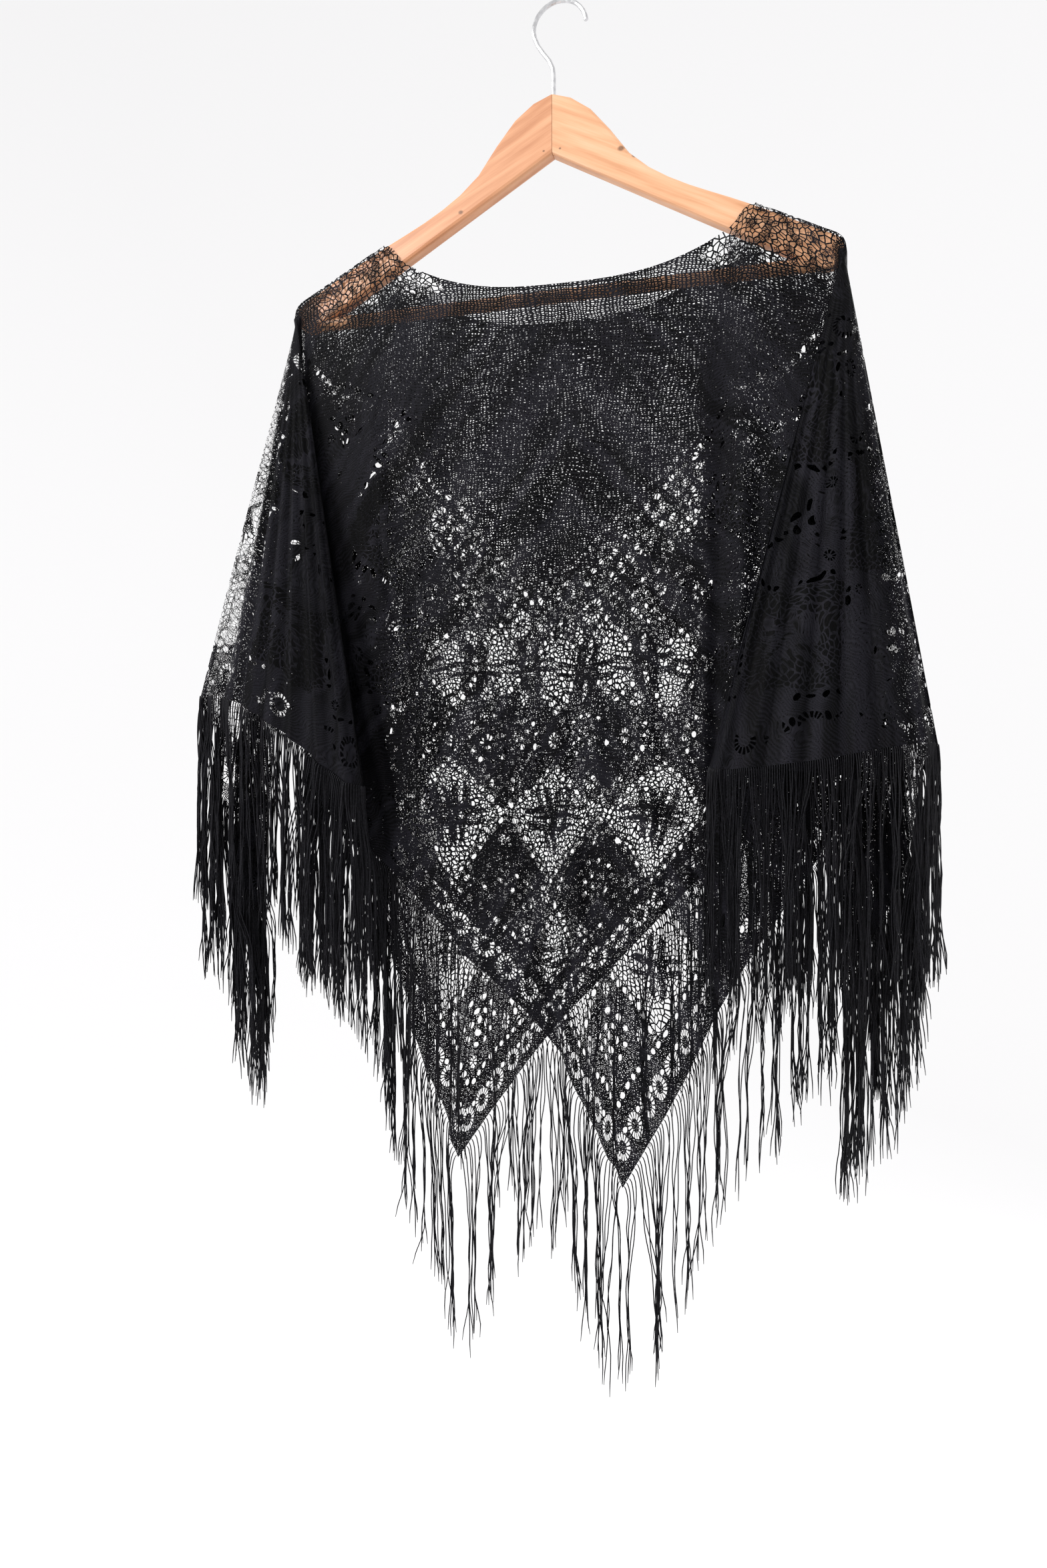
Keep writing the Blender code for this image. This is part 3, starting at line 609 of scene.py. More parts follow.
    def ripple(self, along, share):
        """Small folds of the middle that fade into the pleats of the fan."""
        room = 1 - smoothstep((along - 0.8 * self.fan_start) / (0.35 * self.fan_start))
        height = 0.0
        for rise, wave, shift, full in RIPPLES:
            across = self.sign * along / math.sqrt(2)
            bend = 0.35 * math.sin(3.1 * share + shift)
            grown = smoothstep(share / full)
            height += room * rise * grown * math.sin(2 * math.pi * across / wave + shift + bend)
        room = smoothstep((along - self.fan_start) / PLEAT_FADE)
        room *= smoothstep((HEM_LENGTH - along) / PLEAT_FADE)
        for rise, wave, shift, full in PLEATS:
            grown = smoothstep(share / full)
            height += room * rise * grown * math.sin(2 * math.pi * along / wave + shift)
        return height

    def gather(self, along, point):
        """How densely the lace is bunched at one place of the hanging cloth."""
        from_table = read_table(GATHERS[self.sign], along)[0]
        if along > 0.6 * HEM_LENGTH:
            return from_table
        bunched = read_table(BUNCHES[self.sign], max(self.sign * point.x, 0.0))[0]
        lower = smoothstep((ARM_END_Z - 0.02 - point.z) / 0.08)
        return max(from_table, bunched * lower)

    def flat(self, along, down):
        """The same place on the flat square, from the middle of the shoulder line."""
        if along <= self.fan_start:
            return self.sign * along / math.sqrt(2), -down
        angle = self.fan_angle(along)
        across = self.arm_reach + down * math.sin(angle)
        return self.sign * across, -down * math.cos(angle)

    def rows(self, along):
        """Distances down the thread of the drawn rows, from the neck or shoulder to the hem."""
        start = self.start(along)
        foot = start + SADDLE_FOOT[0]
        rows = [start + share * SADDLE_FOOT[0] / 2 for share in SADDLE_ROWS]
        end = self.length(along)
        rows += [mix(foot, end, step / HANGING_ROWS) for step in range(1, HANGING_ROWS + 1)]
        return rows


def add_piece(name, mesh, material, slot, *nodes):
    """A piece of the object that stands for some of its solids."""
    piece = bpy.data.objects.new(name, mesh)
    mesh.materials.append(material)
    bpy.context.scene.collection.objects.link(piece)
    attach(piece, "root")
    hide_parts(*nodes)
    return piece


def smooth_mesh(name, mesh):
    """Data of a finished mesh, shaded smooth."""
    data = bpy.data.meshes.new(name)
    mesh.to_mesh(data)
    mesh.free()
    data.shade_smooth()
    return data


def lace_panel(name, panel, material):
    """One lace panel as a thin shell with its place on the flat cloth kept at each point."""
    left = HalfPanel(panel, "left")
    right = HalfPanel(panel, "right")
    count = round(HEM_LENGTH / THREAD_STEP)
    stations = [HEM_LENGTH * step / count for step in range(count + 1)]
    columns = [(left, along) for along in reversed(stations[1:])]
    columns += [(right, along) for along in stations]
    mesh = bmesh.new()
    flat_layer = mesh.verts.layers.float_vector.new("flat")
    hem_layer = mesh.verts.layers.float_vector.new("hem")
    grid = []
    for half, along in columns:
        column = []
        for down in half.rows(along):
            vertex = mesh.verts.new(half.place(along, down) - HANG_POINT)
            across, up = half.flat(along, down)
            from_hem = (HALF_DIAGONAL - abs(across) - abs(up)) / math.sqrt(2)
            along_hem = (abs(across) + HALF_DIAGONAL - abs(up)) / math.sqrt(2)
            from_neck = down - half.start(along) if abs(across) < NECK_HALF else NO_NECK
            gather = half.gather(along, vertex.co + HANG_POINT)
            vertex[flat_layer] = Vector((across * 1000, up * 1000, gather))
            vertex[hem_layer] = Vector((along_hem, from_hem, from_neck)) * 1000
            column.append(vertex)
        grid.append(column)
    for first, second in zip(grid, grid[1:]):
        for row in range(len(first) - 1):
            corners = [first[row], first[row + 1], second[row + 1], second[row]]
            if FACING[panel] < 0:
                corners.reverse()
            mesh.faces.new(corners)
    bmesh.ops.remove_doubles(mesh, verts=mesh.verts, dist=0.00002)
    return add_piece(name, smooth_mesh(name, mesh), material, "lace", f"poncho_{panel}")


def hem_edge(half, along):
    """Point of the hem with the direction out of the cloth across it."""
    length = half.length(along)
    point = half.place(along, length)
    inner = half.place(along, length - 0.020)
    step = 0.004
    before = half.place(max(along - step, 0.0), half.length(max(along - step, 0.0)))
    later = min(along + step, HEM_LENGTH)
    edge = (half.place(later, half.length(later)) - before).normalized()
    out = (point - inner).normalized()
    return point, (out - edge * out.dot(edge)).normalized()


def strand_path(root, out, centre, length, strength, rng):
    """Points of one strand: out of the hem in a small arch, then down and into its bunch."""
    seed = Vector((rng.uniform(0, 50), rng.uniform(0, 50), 0.0))
    fork = Vector((rng.gauss(0, 0.6), 0.5 * rng.gauss(0, 0.6), 0.0)) * FORK
    meet = rng.uniform(*STRAND_MEET)
    level = Vector((out.x, out.y, 0.0))
    points = []
    for step in range(STRAND_STEPS + 1):
        share = (step / STRAND_STEPS) ** 1.5
        down = share * length
        arch = 1 - math.exp(-down / ARCH_LENGTH)
        lift = ARCH_RISE * 4 * arch * (1 - arch)
        point = root + level * (ARCH_REACH * arch) - Vector((0.0, 0.0, down - lift))
        pull = strength * smoothstep((share - 0.04) / meet)
        point.x = mix(point.x, centre.x, pull)
        point.y = mix(point.y, centre.y, pull)
        point += fork * smoothstep((share - FORK_FROM) / (1 - FORK_FROM))
        wander = noise.noise_vector(seed + Vector((0.0, 0.0, down * KINK_RATE)))
        point += Vector((wander.x, 0.6 * wander.y, 0.0)) * KINK * smoothstep(share / 0.2)
        points.append(point)
    return points


def add_strand(mesh, points):
    """A thin tube along the points."""
    rings = []
    for index, point in enumerate(points):
        taper = 1.0 if index < len(points) - 1 else 0.5
        ring = []
        for side in range(STRAND_SIDES):
            angle = 2 * math.pi * side / STRAND_SIDES
            aside = Vector((math.cos(angle), math.sin(angle), 0.0))
            ring.append(mesh.verts.new(point + aside * STRAND_RADIUS * taper))
        rings.append(ring)
    for ring, following in zip(rings, rings[1:]):
        for side in range(STRAND_SIDES):
            after = (side + 1) % STRAND_SIDES
            mesh.faces.new([ring[side], following[side], following[after], ring[after]])


def strand_roots():
    """Distances along the hem of all strands, closer together where the cloth is folded."""
    begin, end = STRAND_PITCH_CHANGE
    places = [STRAND_PITCH[0] / 2]
    while places[-1] < HEM_LENGTH:
        share = smoothstep((places[-1] - begin) / (end - begin))
        places.append(places[-1] + mix(*STRAND_PITCH, share))
    return places[:-1]


def fringe(panel, side, material):
    """All strands of one hem, hung in loose bunches."""
    half = HalfPanel(panel, side)
    rng = random.Random(f"{panel} {side} {FRINGE_SEED}")
    mesh = bmesh.new()
    places = strand_roots()
    while places:
        size = rng.randint(2, BUNCH_SIZE)
        roots = [hem_edge(half, along) for along in places[:size]]
        places = places[size:]
        centre = sum((root for root, _ in roots), Vector()) / len(roots)
        centre += Vector((rng.gauss(0, BUNCH_LEAN), rng.gauss(0, BUNCH_LEAN / 3), 0.0))
        strength = rng.uniform(0.55, 1.0)
        bunch_length = STRAND_LENGTH * rng.uniform(0.93, 1.0)
        for root, out in roots:
            length = bunch_length * rng.uniform(0.9, 1.04)
            path = strand_path(root, out, centre, length, strength, rng)
            add_strand(mesh, [point - HANG_POINT for point in path])
    name = f"threads_{panel}_{side}"
    data = smooth_mesh(name, mesh)
    return add_piece(name, data, material, "thread", f"fringe_{panel}_{side}")


class Graph:
    """Short names for the nodes of one material."""

    def __init__(self, name):
        self.material = bpy.data.materials.new(name)
        self.material.use_nodes = True
        self.tree = self.material.node_tree
        self.shader = self.tree.nodes["Principled BSDF"]

    def node(self, kind, **settings):
        node = self.tree.nodes.new(kind)
        for name, value in settings.items():
            setattr(node, name, value)
        return node

    def feed(self, socket, value):
        if isinstance(value, bpy.types.NodeSocket):
            self.tree.links.new(value, socket)
        else:
            socket.default_value = value

    def math(self, operation, *values):
        node = self.node("ShaderNodeMath", operation=operation)
        for socket, value in zip(node.inputs, values):
            self.feed(socket, value)
        return node.outputs[0]

    def add(self, first, second):
        return self.math("ADD", first, second)

    def take(self, first, second):
        return self.math("SUBTRACT", first, second)

    def times(self, first, second):
        return self.math("MULTIPLY", first, second)

    def above(self, value, limit):
        return self.math("GREATER_THAN", value, limit)

    def below(self, value, limit):
        return self.math("LESS_THAN", value, limit)

    def most(self, *values):
        result = values[0]
        for value in values[1:]:
            result = self.math("MAXIMUM", result, value)
        return result

    def size(self, value):
        return self.math("ABSOLUTE", value)

    def length(self, first, second):
        squares = self.add(self.times(first, first), self.times(second, second))
        return self.math("SQRT", squares)

    def within(self, value, low, high):
        """1 where the value lies between two limits."""
        return self.times(self.above(value, low), self.below(value, high))

    def around(self, value, pitch):
        """Distance from the nearest whole multiple of the pitch, with its sign."""
        shifted = self.add(value, pitch / 2)
        return self.take(self.math("FLOORED_MODULO", shifted, pitch), pitch / 2)

    def choose(self, mask, no, yes):
        """One value where the mask is 0, and another where it is 1."""
        node = self.node("ShaderNodeMix", data_type="FLOAT")
        self.feed(node.inputs[0], mask)
        self.feed(node.inputs[2], no)
        self.feed(node.inputs[3], yes)
        return node.outputs[0]

    def vector(self, x, y, z=0.0):
        node = self.node("ShaderNodeCombineXYZ")
        for socket, value in zip(node.inputs, (x, y, z)):
            self.feed(socket, value)
        return node.outputs[0]

    def kept(self, name):
        """The three values of a vector kept at the mesh's points."""
        attribute = self.node("ShaderNodeAttribute", attribute_name=name)
        split = self.node("ShaderNodeSeparateXYZ")
        self.feed(split.inputs[0], attribute.outputs["Vector"])
        return tuple(split.outputs)

    def cells(self, x, y, wide, high, uneven):
        """Distance from the nearest edge of a net of uneven cells, in cells."""
        net = self.node("ShaderNodeTexVoronoi", feature="DISTANCE_TO_EDGE")
        net.voronoi_dimensions = "2D"
        place = self.vector(self.times(x, 1 / wide), self.times(y, 1 / high))
        self.feed(net.inputs["Vector"], place)
        self.feed(net.inputs["Scale"], 1.0)
        self.feed(net.inputs["Randomness"], uneven)
        return net.outputs["Distance"]

    def clouds(self, place, scale, detail=2.0):
        cloud = self.node("ShaderNodeTexNoise")
        self.feed(cloud.inputs["Vector"], place)
        self.feed(cloud.inputs["Scale"], scale)
        self.feed(cloud.inputs["Detail"], detail)
        return cloud.outputs["Fac"]

    def ramp_value(self, value, low, high):
        """The value spread smoothly from 0 at the low limit to 1 at the high one."""
        spread = self.node("ShaderNodeMapRange", interpolation_type="SMOOTHSTEP")
        self.feed(spread.inputs[0], value)
        self.feed(spread.inputs[1], low)
        self.feed(spread.inputs[2], high)
        return spread.outputs[0]

    def ramp(self, value, *stops):
        node = self.node("ShaderNodeValToRGB")
        self.feed(node.inputs[0], value)
        elements = node.color_ramp.elements
        while len(elements) < len(stops):
            elements.new(0.5)
        for element, (place, colour) in zip(elements, stops):
            element.position = place
            element.color = (*colour, 1.0)
        return node.outputs[0]

    def set_shader(self, roughness, specular=None):
        """Values that are the same all over the surface."""
        self.shader.inputs["Roughness"].default_value = roughness
        if specular is not None:
            self.shader.inputs["Specular IOR Level"].default_value = specular

    def bump(self, height, strength, distance):
        """Small relief of the surface."""
        node = self.node("ShaderNodeBump")
        node.inputs["Strength"].default_value = strength
        node.inputs["Distance"].default_value = distance
        self.feed(node.inputs["Height"], height)
        self.feed(self.shader.inputs["Normal"], node.outputs[0])


def daisy_gaps(graph, x, y, core, reach, count):
    """Radial gaps between a daisy's core and its rim."""
    away = graph.length(x, y)
    turn = graph.math("ARCTAN2", y, x)
    spokes = graph.math("COSINE", graph.times(turn, count))
    return graph.times(graph.within(away, core, reach), graph.above(spokes, -0.35))


def dot_ring(graph, away, turn, radius, count, dot):
    """Small round holes spaced evenly on a circle."""
    step = 2 * math.pi / count
    aside = graph.times(graph.around(turn, step), radius)
    return graph.below(graph.length(aside, graph.take(away, radius)), dot)


def dot_row(graph, along, aside, pitch, half_width, half_height):
    """Oval holes spaced evenly on a line."""
    x = graph.times(graph.around(along, pitch), 1 / half_width)
    y = graph.times(aside, 1 / half_height)
    return graph.below(graph.length(x, y), 1.0)


class Lace:
    """The lace's pattern, worked out in nodes from the places kept on the flat square."""

    def __init__(self, graph):
        self.graph = graph
        flat_x, flat_y, gather = graph.kept("flat")
        hem_x, hem_y, self.from_neck = graph.kept("hem")
        self.flat_y = flat_y
        self.from_middle = graph.size(flat_x)
        self.place = graph.vector(flat_x, flat_y)
        self.place_aside = graph.vector(graph.add(flat_x, CLOUDS_ASIDE), flat_y)
        self.gathered = graph.most(gather, 0.0)
        self.opened = graph.most(graph.times(gather, -1.0), 0.0)

        # The cloth is pulled a little out of true on its bias, and further where it is bunched
        pull = graph.math("MULTIPLY_ADD", self.gathered, BUNCHED_PULL, PULL)
        pull_x = self.pulled(self.place, pull)
        pull_y = self.pulled(self.place_aside, pull)
        near_hem = graph.math("MINIMUM", graph.times(hem_y, 1 / PULL_FADE), 1.0)
        self.across = graph.add(flat_x, pull_x)
        self.up = graph.add(flat_y, pull_y)
        self.along = graph.add(hem_x, graph.times(pull_x, near_hem))
        self.hem = graph.add(hem_y, graph.times(pull_y, near_hem))

        # Squares of the border, open and close in turn, and the place inside each
        middle = SQUARES_START + SQUARE / 2
        self.inside_x = graph.around(graph.take(self.along, middle), SQUARE)
        self.inside_y = graph.around(graph.take(self.hem, middle), SQUARE)
        number = graph.add(self.square_number(self.along), self.square_number(self.hem))
        self.open_square = graph.math("FLOORED_MODULO", number, 2.0)
        self.close_square = graph.take(1.0, self.open_square)
        self.from_edge_x = graph.take(SQUARE / 2, graph.size(self.inside_x))
        self.from_edge_y = graph.take(SQUARE / 2, graph.size(self.inside_y))

        # Threads that several regions share
        self.mesh = graph.cells(self.across, self.up, *MESH_CELL, NET_UNEVEN)
        self.net = graph.cells(self.across, self.up, *NET_CELL, NET_UNEVEN)
        self.rib = graph.below(graph.size(graph.around(self.across, RIB_PITCH)), RIB_HALF)
        streaks = graph.ramp_value(self.stretched(self.across, self.up, STREAK_CLOUDS), *STREAKS)
        thinner = graph.times(self.opened, OPENED_THINNER)
        self.thicker = graph.take(graph.times(streaks, STREAK_THICKER), thinner)

    def pulled(self, place, pull):
        cloud = self.graph.clouds(place, PULL_CLOUDS, 3.0)
        return self.graph.times(self.graph.take(cloud, 0.5), pull)

    def stretched(self, x, y, scales):
        """Clouds with a scale of their own along each of the two ways."""
        graph = self.graph
        return graph.clouds(graph.vector(graph.times(x, scales[0]), graph.times(y, scales[1])), 1.0)

    def square_number(self, distance):
        graph = self.graph
        return graph.math("FLOOR", graph.times(graph.take(distance, SQUARES_START), 1 / SQUARE))

    def crosses(self):
        """Crosses of doubled bars in the squares, straight with the grain."""
        graph = self.graph
        difference = graph.take(self.inside_x, self.inside_y)
        level = graph.size(graph.times(difference, math.sqrt(0.5)))
        upright = graph.size(graph.times(graph.add(self.inside_x, self.inside_y), math.sqrt(0.5)))
        away = graph.add(upright, level)
        bars = []
        for aside, (inner, outer, end) in ((level, CROSS_UPRIGHT), (upright, CROSS_LEVEL)):
            bars.append(graph.times(graph.within(aside, inner, outer), graph.below(away, end)))
        return graph.most(*bars)

    def border(self):
        """Threads from the hem to the band of daisies: a fine mesh and a wide net."""
        graph = self.graph
        half = graph.choose(self.crosses(), 0.0, CROSS_THREAD)
        half = graph.choose(self.open_square, graph.add(CLOSE_THREAD, self.thicker), half)
        from_edge = graph.math("MINIMUM", self.from_edge_x, self.from_edge_y)
        half = graph.choose(graph.below(from_edge, SQUARE_EDGE), half, EDGE_THREAD)
        half = graph.choose(graph.within(self.hem, SQUARES_TO, BAND_TO), half, BAND_THREAD)
        half = graph.choose(graph.below(self.hem, SQUARES_FROM_HEM), half, HEM_THREAD)
        half = graph.take(half, graph.times(self.opened, OPENED_BORDER_THINNER))
        wide = graph.add(graph.times(self.thicker, NET_SHARE), NET_THREAD)
        wide = graph.most(wide, THINNEST_NET_THREAD)
        ribs = graph.times(self.rib, self.close_square)
        return graph.most(graph.below(self.mesh, half), graph.below(self.net, wide), ribs)

    def ground(self):
        """Threads of the knitted middle, and of the looser net over the wood."""
        graph = self.graph
        patches = graph.ramp_value(graph.clouds(self.place, PATCH_CLOUDS), *PATCHES)
        half = graph.math("MULTIPLY_ADD", patches, -PATCH_THINNER, GROUND_THREAD)
        half = graph.add(half, self.thicker)
        half = graph.choose(graph.below(self.from_neck, NECK_EDGE), half, NECK_THREAD)
        knit = graph.cells(self.across, self.up, *GROUND_CELL, GROUND_UNEVEN)
        course = graph.below(graph.size(graph.around(self.up, COURSE_PITCH)), COURSE_HALF)
        knitted = graph.most(graph.below(knit, half), self.rib, course)

        lumps = graph.above(graph.clouds(self.place, LUMP_CLOUDS), LUMPS_FROM)
        lumps = graph.times(graph.below(self.mesh, SHOULDER_MESH_THREAD), lumps)
        netted = graph.most(graph.below(self.net, SHOULDER_NET_THREAD), lumps)
        ragged = graph.clouds(self.place, RAGGED_CLOUDS)
        ragged = graph.math("MULTIPLY_ADD", ragged, SHOULDER_RAGGED, self.flat_y)
        shoulder = graph.below(self.hem, SHOULDER_FROM_HEM)
        shoulder = graph.times(shoulder, graph.above(ragged, SHOULDER_HEIGHT))
        shoulder = graph.times(shoulder, graph.below(self.from_middle, SHOULDER_FROM_MIDDLE))
        return graph.choose(shoulder, knitted, netted)

    def square_holes(self):
        """Holes along the squares' edges, and the flowers of the close ones."""
        graph = self.graph
        edges = graph.most(
            dot_row(graph, self.inside_y, self.from_edge_x, EDGE_HOLE_PITCH, *EDGE_HOLE_HALF),
            dot_row(graph, self.inside_x, self.from_edge_y, EDGE_HOLE_PITCH, *EDGE_HOLE_HALF))
        away = graph.length(self.inside_x, self.inside_y)
        turn = graph.math("ARCTAN2", self.inside_y, self.inside_x)
        rings = [dot_ring(graph, away, turn, *ring) for ring in FLOWER_RINGS]
        posy_x = graph.take(graph.size(self.inside_x), POSY_FROM_MIDDLE)
        posy_y = graph.take(graph.size(self.inside_y), POSY_FROM_MIDDLE)
        posy = daisy_gaps(graph, posy_x, posy_y, *POSY)
        flower = graph.most(*rings, graph.below(away, FLOWER_CORE), posy)
        holes = graph.most(edges, graph.times(flower, self.close_square))
        return graph.times(holes, graph.within(self.hem, SQUARES_FROM_HEM, SQUARES_TO))

    def holes(self):
        """All holes: the rows beside the hem, the squares, and the band of daisies."""
        graph = self.graph
        along = self.along
        daisy_x = graph.around(along, DAISY_PITCH)
        in_band = graph.take(self.hem, BAND_MIDDLE)
        hem_daisies = daisy_gaps(graph, daisy_x, graph.take(self.hem, DAISY_FROM_HEM), *DAISY)
        band_daisies = daisy_gaps(graph, daisy_x, in_band, *DAISY)
        eyelets = dot_row(
            graph, along, graph.take(self.hem, EYELET_FROM_HEM), EYELET_PITCH, *EYELET_HALF)
        between = dot_row(
            graph, graph.add(along, DAISY_PITCH / 2), graph.take(self.hem, BETWEEN_FROM_HEM),
            DAISY_PITCH, *SMALL_EYELET_HALF)
        band_eyelets = dot_row(
            graph, along, graph.take(graph.size(in_band), BAND_EYELETS_ASIDE),
            BAND_EYELET_PITCH, *SMALL_EYELET_HALF)
        holes = graph.most(
            hem_daisies, between, eyelets, band_daisies, band_eyelets, self.square_holes())
        # Some close up in the creases of bunched cloth
        creases = graph.above(graph.clouds(self.place_aside, CREASE_CLOUDS), CREASES_FROM)
        creased = graph.times(graph.above(self.gathered, CREASED_FROM), creases)
        return graph.times(holes, graph.take(1.0, creased))

    def shade(self):
        """Light and dark of the threads: uneven twist, painted shade of the folds, painted highlights on
        the stitch rows.
        """
        graph = self.graph
        twist = graph.clouds(self.place, TWIST_CLOUDS)
        # Painted shade: dark bands down the folds of the lace
        folds = graph.ramp_value(self.stretched(self.along, self.hem, PAINTED_FOLD_SHADE_CLOUDS), *PAINTED_FOLD_SHADE)
        # Painted highlights along the stitch rows of the knit
        stitch_highlights = graph.size(graph.around(self.up, STITCH_HIGHLIGHT_PITCH))
        stitch_highlights = graph.times(stitch_highlights, 2 / STITCH_HIGHLIGHT_PITCH)
        parts = [
            graph.times(value, share)
            for value, share in zip((twist, folds, stitch_highlights), SHADE_SHARES)
        ]
        return graph.add(graph.add(parts[0], parts[1]), parts[2])


def lace_material():
    """Fine knitted lace: net of several densities, with eyelets, daisies and crosses."""
    graph = Graph("black_lace")
    lace = Lace(graph)
    solid = graph.take(1.0, lace.holes())
    threads = graph.choose(graph.below(lace.hem, BAND_TO), lace.ground(), lace.border())
    threads = graph.times(threads, solid)
    # Bunched cloth: a near-black fill between its threads, painted shade of the close layers behind its
    # net
    bunched = graph.below(lace.mesh, graph.times(lace.gathered, PAINTED_SHADE_HALF_IN_BUNCHES))
    alpha = graph.most(threads, graph.times(bunched, solid))
    graph.feed(graph.shader.inputs["Alpha"], alpha)
    # Lace tones on the threads, and painted shade in the fill of bunched cloth
    colour_with_painted_shade = graph.node("ShaderNodeMix", data_type="RGBA")
    graph.feed(colour_with_painted_shade.inputs[0], threads)
    colour_with_painted_shade.inputs[6].default_value = PAINTED_SHADE_BEHIND_LACE
    graph.feed(colour_with_painted_shade.inputs[7], graph.ramp(lace.shade(), *LACE_TONES_AND_PAINTED_SHADE))
    graph.feed(graph.shader.inputs["Base Color"], colour_with_painted_shade.outputs[2])
    graph.set_shader(roughness=0.6, specular=0.06)
    graph.bump(lace.mesh, 0.6, 0.0005)
    return graph.material


def thread_material():
    """Twisted black thread of the fringe."""
    graph = Graph("black_thread")
    place = graph.node("ShaderNodeNewGeometry").outputs["Position"]
    twist = graph.clouds(place, 900.0)
    graph.feed(graph.shader.inputs["Base Color"], graph.ramp(twist, *THREAD_TONES))
    graph.set_shader(roughness=0.55, specular=0.15)
    return graph.material


def wood_material(name, direction, tones, spots):
    """Pale varnished wood with its grain along one direction in the plane of the hanger; darker tones
    paint shade.
    """
    graph = Graph(name)
    place = graph.node("ShaderNodeTexCoord").outputs["Object"]
    split = graph.node("ShaderNodeSeparateXYZ")
    graph.feed(split.inputs[0], place)
    x, y, z = split.outputs
    cosine = math.cos(direction)
    sine = math.sin(direction)
    along = graph.add(graph.times(x, cosine), graph.times(z, sine))
    across = graph.take(graph.times(z, cosine), graph.times(x, sine))
    grain_place = graph.vector(
        graph.times(along, GRAIN_SCALE[0]), graph.times(across, GRAIN_SCALE[1]),
        graph.times(y, GRAIN_SCALE[1]))
    grain = graph.clouds(grain_place, 1.6, 6.0)
    fibre_place = graph.vector(
        graph.times(along, FIBRE_SCALE[0]), graph.times(across, FIBRE_SCALE[1]), y)
    fibre = graph.clouds(fibre_place, 1.0, 3.0)
    value = graph.add(graph.times(grain, GRAIN_SHARE), graph.times(fibre, 1 - GRAIN_SHARE))
    colour = graph.ramp(value, *zip(GRAIN_STOPS, tones))
    dark = 0.0
    # Dark spots: the knots' own colour, and painted shade in the pin holes
    for spot_x, spot_z, radius in spots:
        upwards = graph.times(graph.take(z, spot_z), SPOT_SQUASH)
        aside = graph.length(graph.take(x, spot_x), upwards)
        edge = graph.node("ShaderNodeMapRange", interpolation_type="SMOOTHSTEP")
        full, faded = SPOT_REACH
        for socket, limit in zip(edge.inputs, (aside, radius * full, radius * faded, SPOT_DARKEST, 0.0)):
            graph.feed(socket, limit)
        dark = graph.math("MAXIMUM", dark, edge.outputs[0])
    darken = graph.node("ShaderNodeMix", data_type="RGBA")
    graph.feed(darken.inputs[0], dark)
    graph.feed(darken.inputs[6], colour)
    darken.inputs[7].default_value = KNOT_TONE_AND_HOLE_SHADE
    graph.feed(graph.shader.inputs["Base Color"], darken.outputs[2])
    graph.set_shader(roughness=0.42)
    graph.shader.inputs["Coat Weight"].default_value = 0.25
    graph.shader.inputs["Coat Roughness"].default_value = 0.25
    graph.bump(fibre, 0.25, 0.0002)
    return graph.material


def steel_material():
    """Bright plated wire, a little scuffed."""
    graph = Graph("plated_wire")
    place = graph.node("ShaderNodeTexCoord").outputs["Object"]
    scuffs = graph.clouds(place, 260.0, 4.0)
    graph.feed(graph.shader.inputs["Base Color"], graph.ramp(scuffs, *STEEL_TONES))
    graph.shader.inputs["Metallic"].default_value = 1.0
    rough = graph.math("MULTIPLY_ADD", scuffs, 0.2, 0.12)
    graph.feed(graph.shader.inputs["Roughness"], rough)
    return graph.material


def dress_hanger(nodes):
    """Better materials on the hanger's own solids."""
    spots = KNOTS + PIN_HOLES
    dressing = {
        # The left arm takes the darker copy of the wood as painted shade
        "hanger_arm_left": wood_material("wood_left_painted_shade", ARM_SLOPE, PAINTED_SHADE_WOOD, spots),
        "hanger_arm_right": wood_material("wood_right", -ARM_SLOPE, PALE_WOOD, spots),
        "trouser_bar": wood_material("wood_bar", 0.0, PALE_WOOD, ()),
        "hanger_hook": steel_material(),
    }
    for name, material in dressing.items():
        nodes[name].data.materials.clear()
        nodes[name].data.materials.append(material)


def stage_profile():
    """Radius and height from the floor's middle to the top of the backdrop."""
    points = [(0.0, FLOOR_Z), (STAGE_RADIUS - STAGE_SWEEP, FLOOR_Z)]
    for step in range(1, SWEEP_STEPS + 1):
        angle = math.pi / 2 * step / SWEEP_STEPS
        out = STAGE_RADIUS - STAGE_SWEEP + STAGE_SWEEP * math.sin(angle)
        points.append((out, FLOOR_Z + STAGE_SWEEP * (1 - math.cos(angle))))
    points.append((STAGE_RADIUS, STAGE_TOP))
    return points


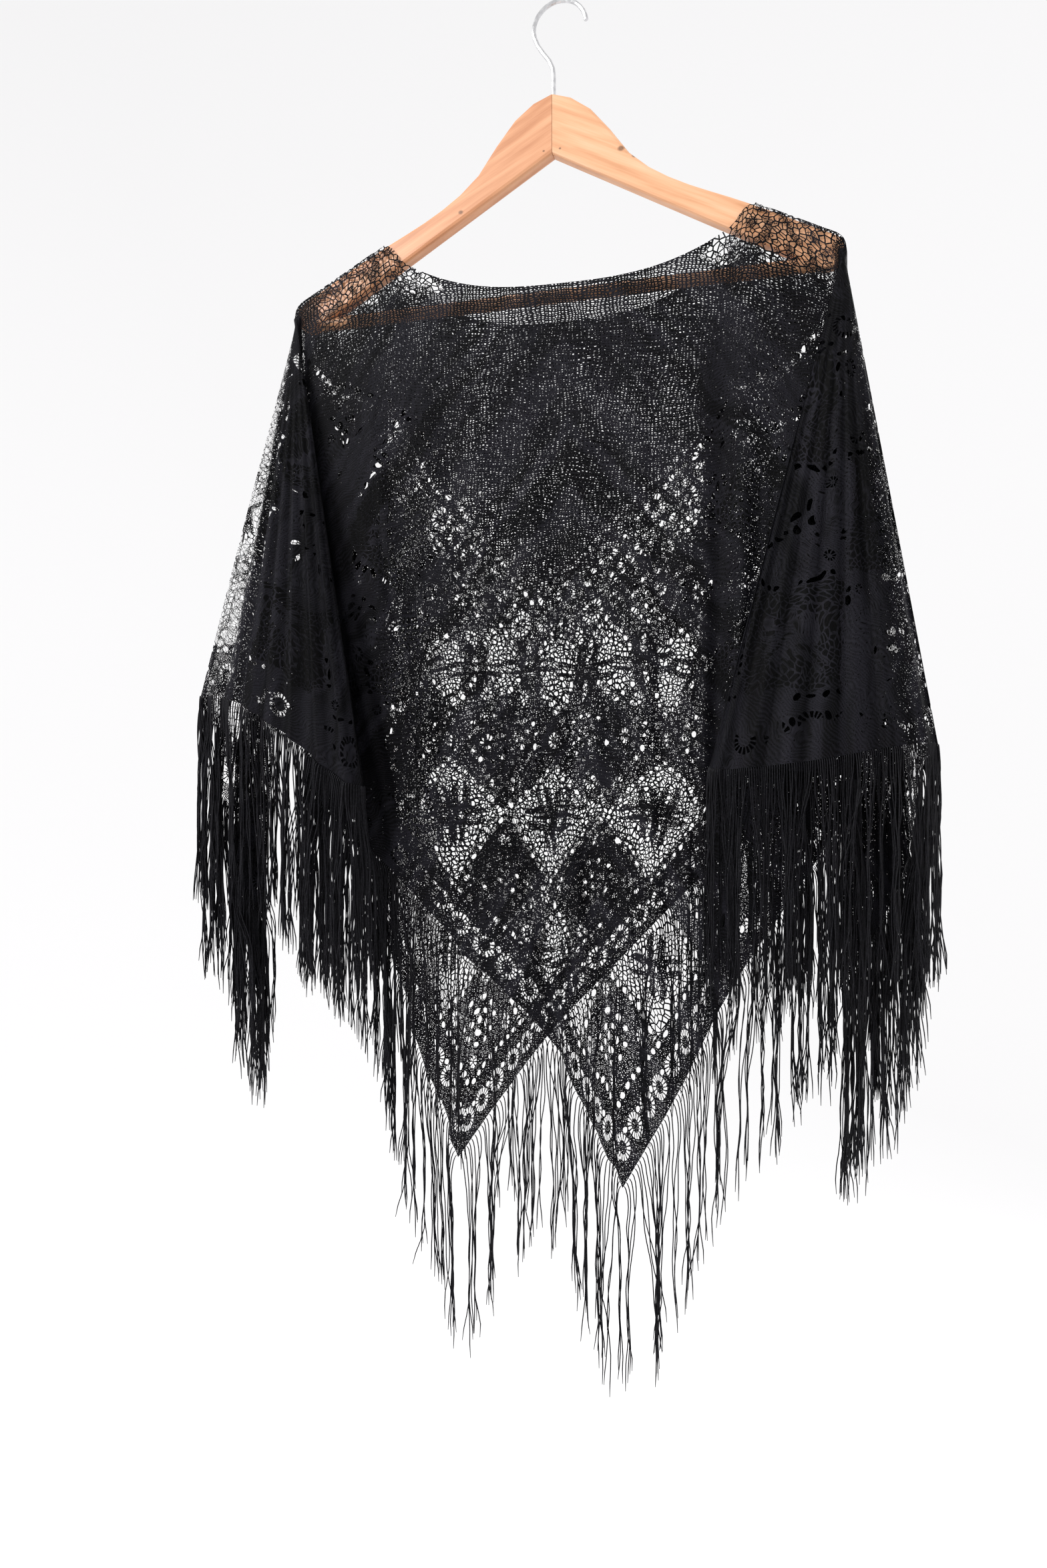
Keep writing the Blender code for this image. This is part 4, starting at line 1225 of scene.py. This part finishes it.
def add_stage():
    """A pale floor that rounds up into a backdrop on every side."""
    mesh = bmesh.new()
    profile = [mesh.verts.new((out, 0.0, up)) for out, up in stage_profile()]
    edges = [mesh.edges.new(pair) for pair in zip(profile, profile[1:])]
    bmesh.ops.spin(mesh, geom=profile + edges, axis=(0, 0, 1), cent=(0, 0, 0),
                   steps=STAGE_SIDES, angle=2 * math.pi, use_merge=True)
    bmesh.ops.remove_doubles(mesh, verts=mesh.verts, dist=0.0005)
    bmesh.ops.recalc_face_normals(mesh, faces=mesh.faces)
    data = smooth_mesh("studio", mesh)
    studio = bpy.data.objects.new("studio", data)
    bpy.context.scene.collection.objects.link(studio)
    graph = Graph("studio_white")
    graph.shader.inputs["Base Color"].default_value = STUDIO_WHITE
    graph.set_shader(roughness=1.0, specular=0.0)
    data.materials.append(graph.material)
    studio.visible_shadow = False
    studio.visible_diffuse = False


def add_light(name, place, size, energy):
    light = bpy.data.lights.new(name, "AREA")
    light.size = size
    light.energy = energy
    lamp = bpy.data.objects.new(name, light)
    lamp.location = place
    aim = Vector(LIGHT_AIM) - Vector(place)
    lamp.rotation_euler = aim.to_track_quat("-Z", "Y").to_euler()
    bpy.context.scene.collection.objects.link(lamp)


def add_studio_light():
    world = bpy.data.worlds.new("studio_light")
    bpy.context.scene.world = world
    world.use_nodes = True
    background = world.node_tree.nodes["Background"]
    background.inputs["Color"].default_value = (1.0, 1.0, 1.0, 1.0)
    background.inputs["Strength"].default_value = WORLD_STRENGTH
    for light in LIGHTS:
        add_light(*light)


def add_camera():
    data = bpy.data.cameras.new("camera")
    data.lens = CAMERA_LENS
    data.sensor_fit = "VERTICAL"
    data.sensor_height = SENSOR
    data.clip_start = 0.02
    camera = bpy.data.objects.new("camera", data)
    camera.location = CAMERA_PLACE
    camera.rotation_euler = (math.pi / 2, 0.0, CAMERA_TURN)
    bpy.context.scene.collection.objects.link(camera)
    bpy.context.scene.camera = camera


def set_picture():
    scene = bpy.context.scene
    scene.view_settings.view_transform = "Standard"
    scene.cycles.transparent_max_bounces = 32


def main():
    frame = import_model()
    noise.seed_set(FRINGE_SEED)
    add_camera()
    lace = lace_material()
    thread = thread_material()
    for panel in ("front", "back"):
        cloth = lace_panel(f"lace_{panel}", panel, lace)
        threads = [fringe(panel, side, thread) for side in ("left", "right")]
    dress_hanger(frame["nodes"])
    add_stage()
    add_studio_light()
    set_picture()


main()
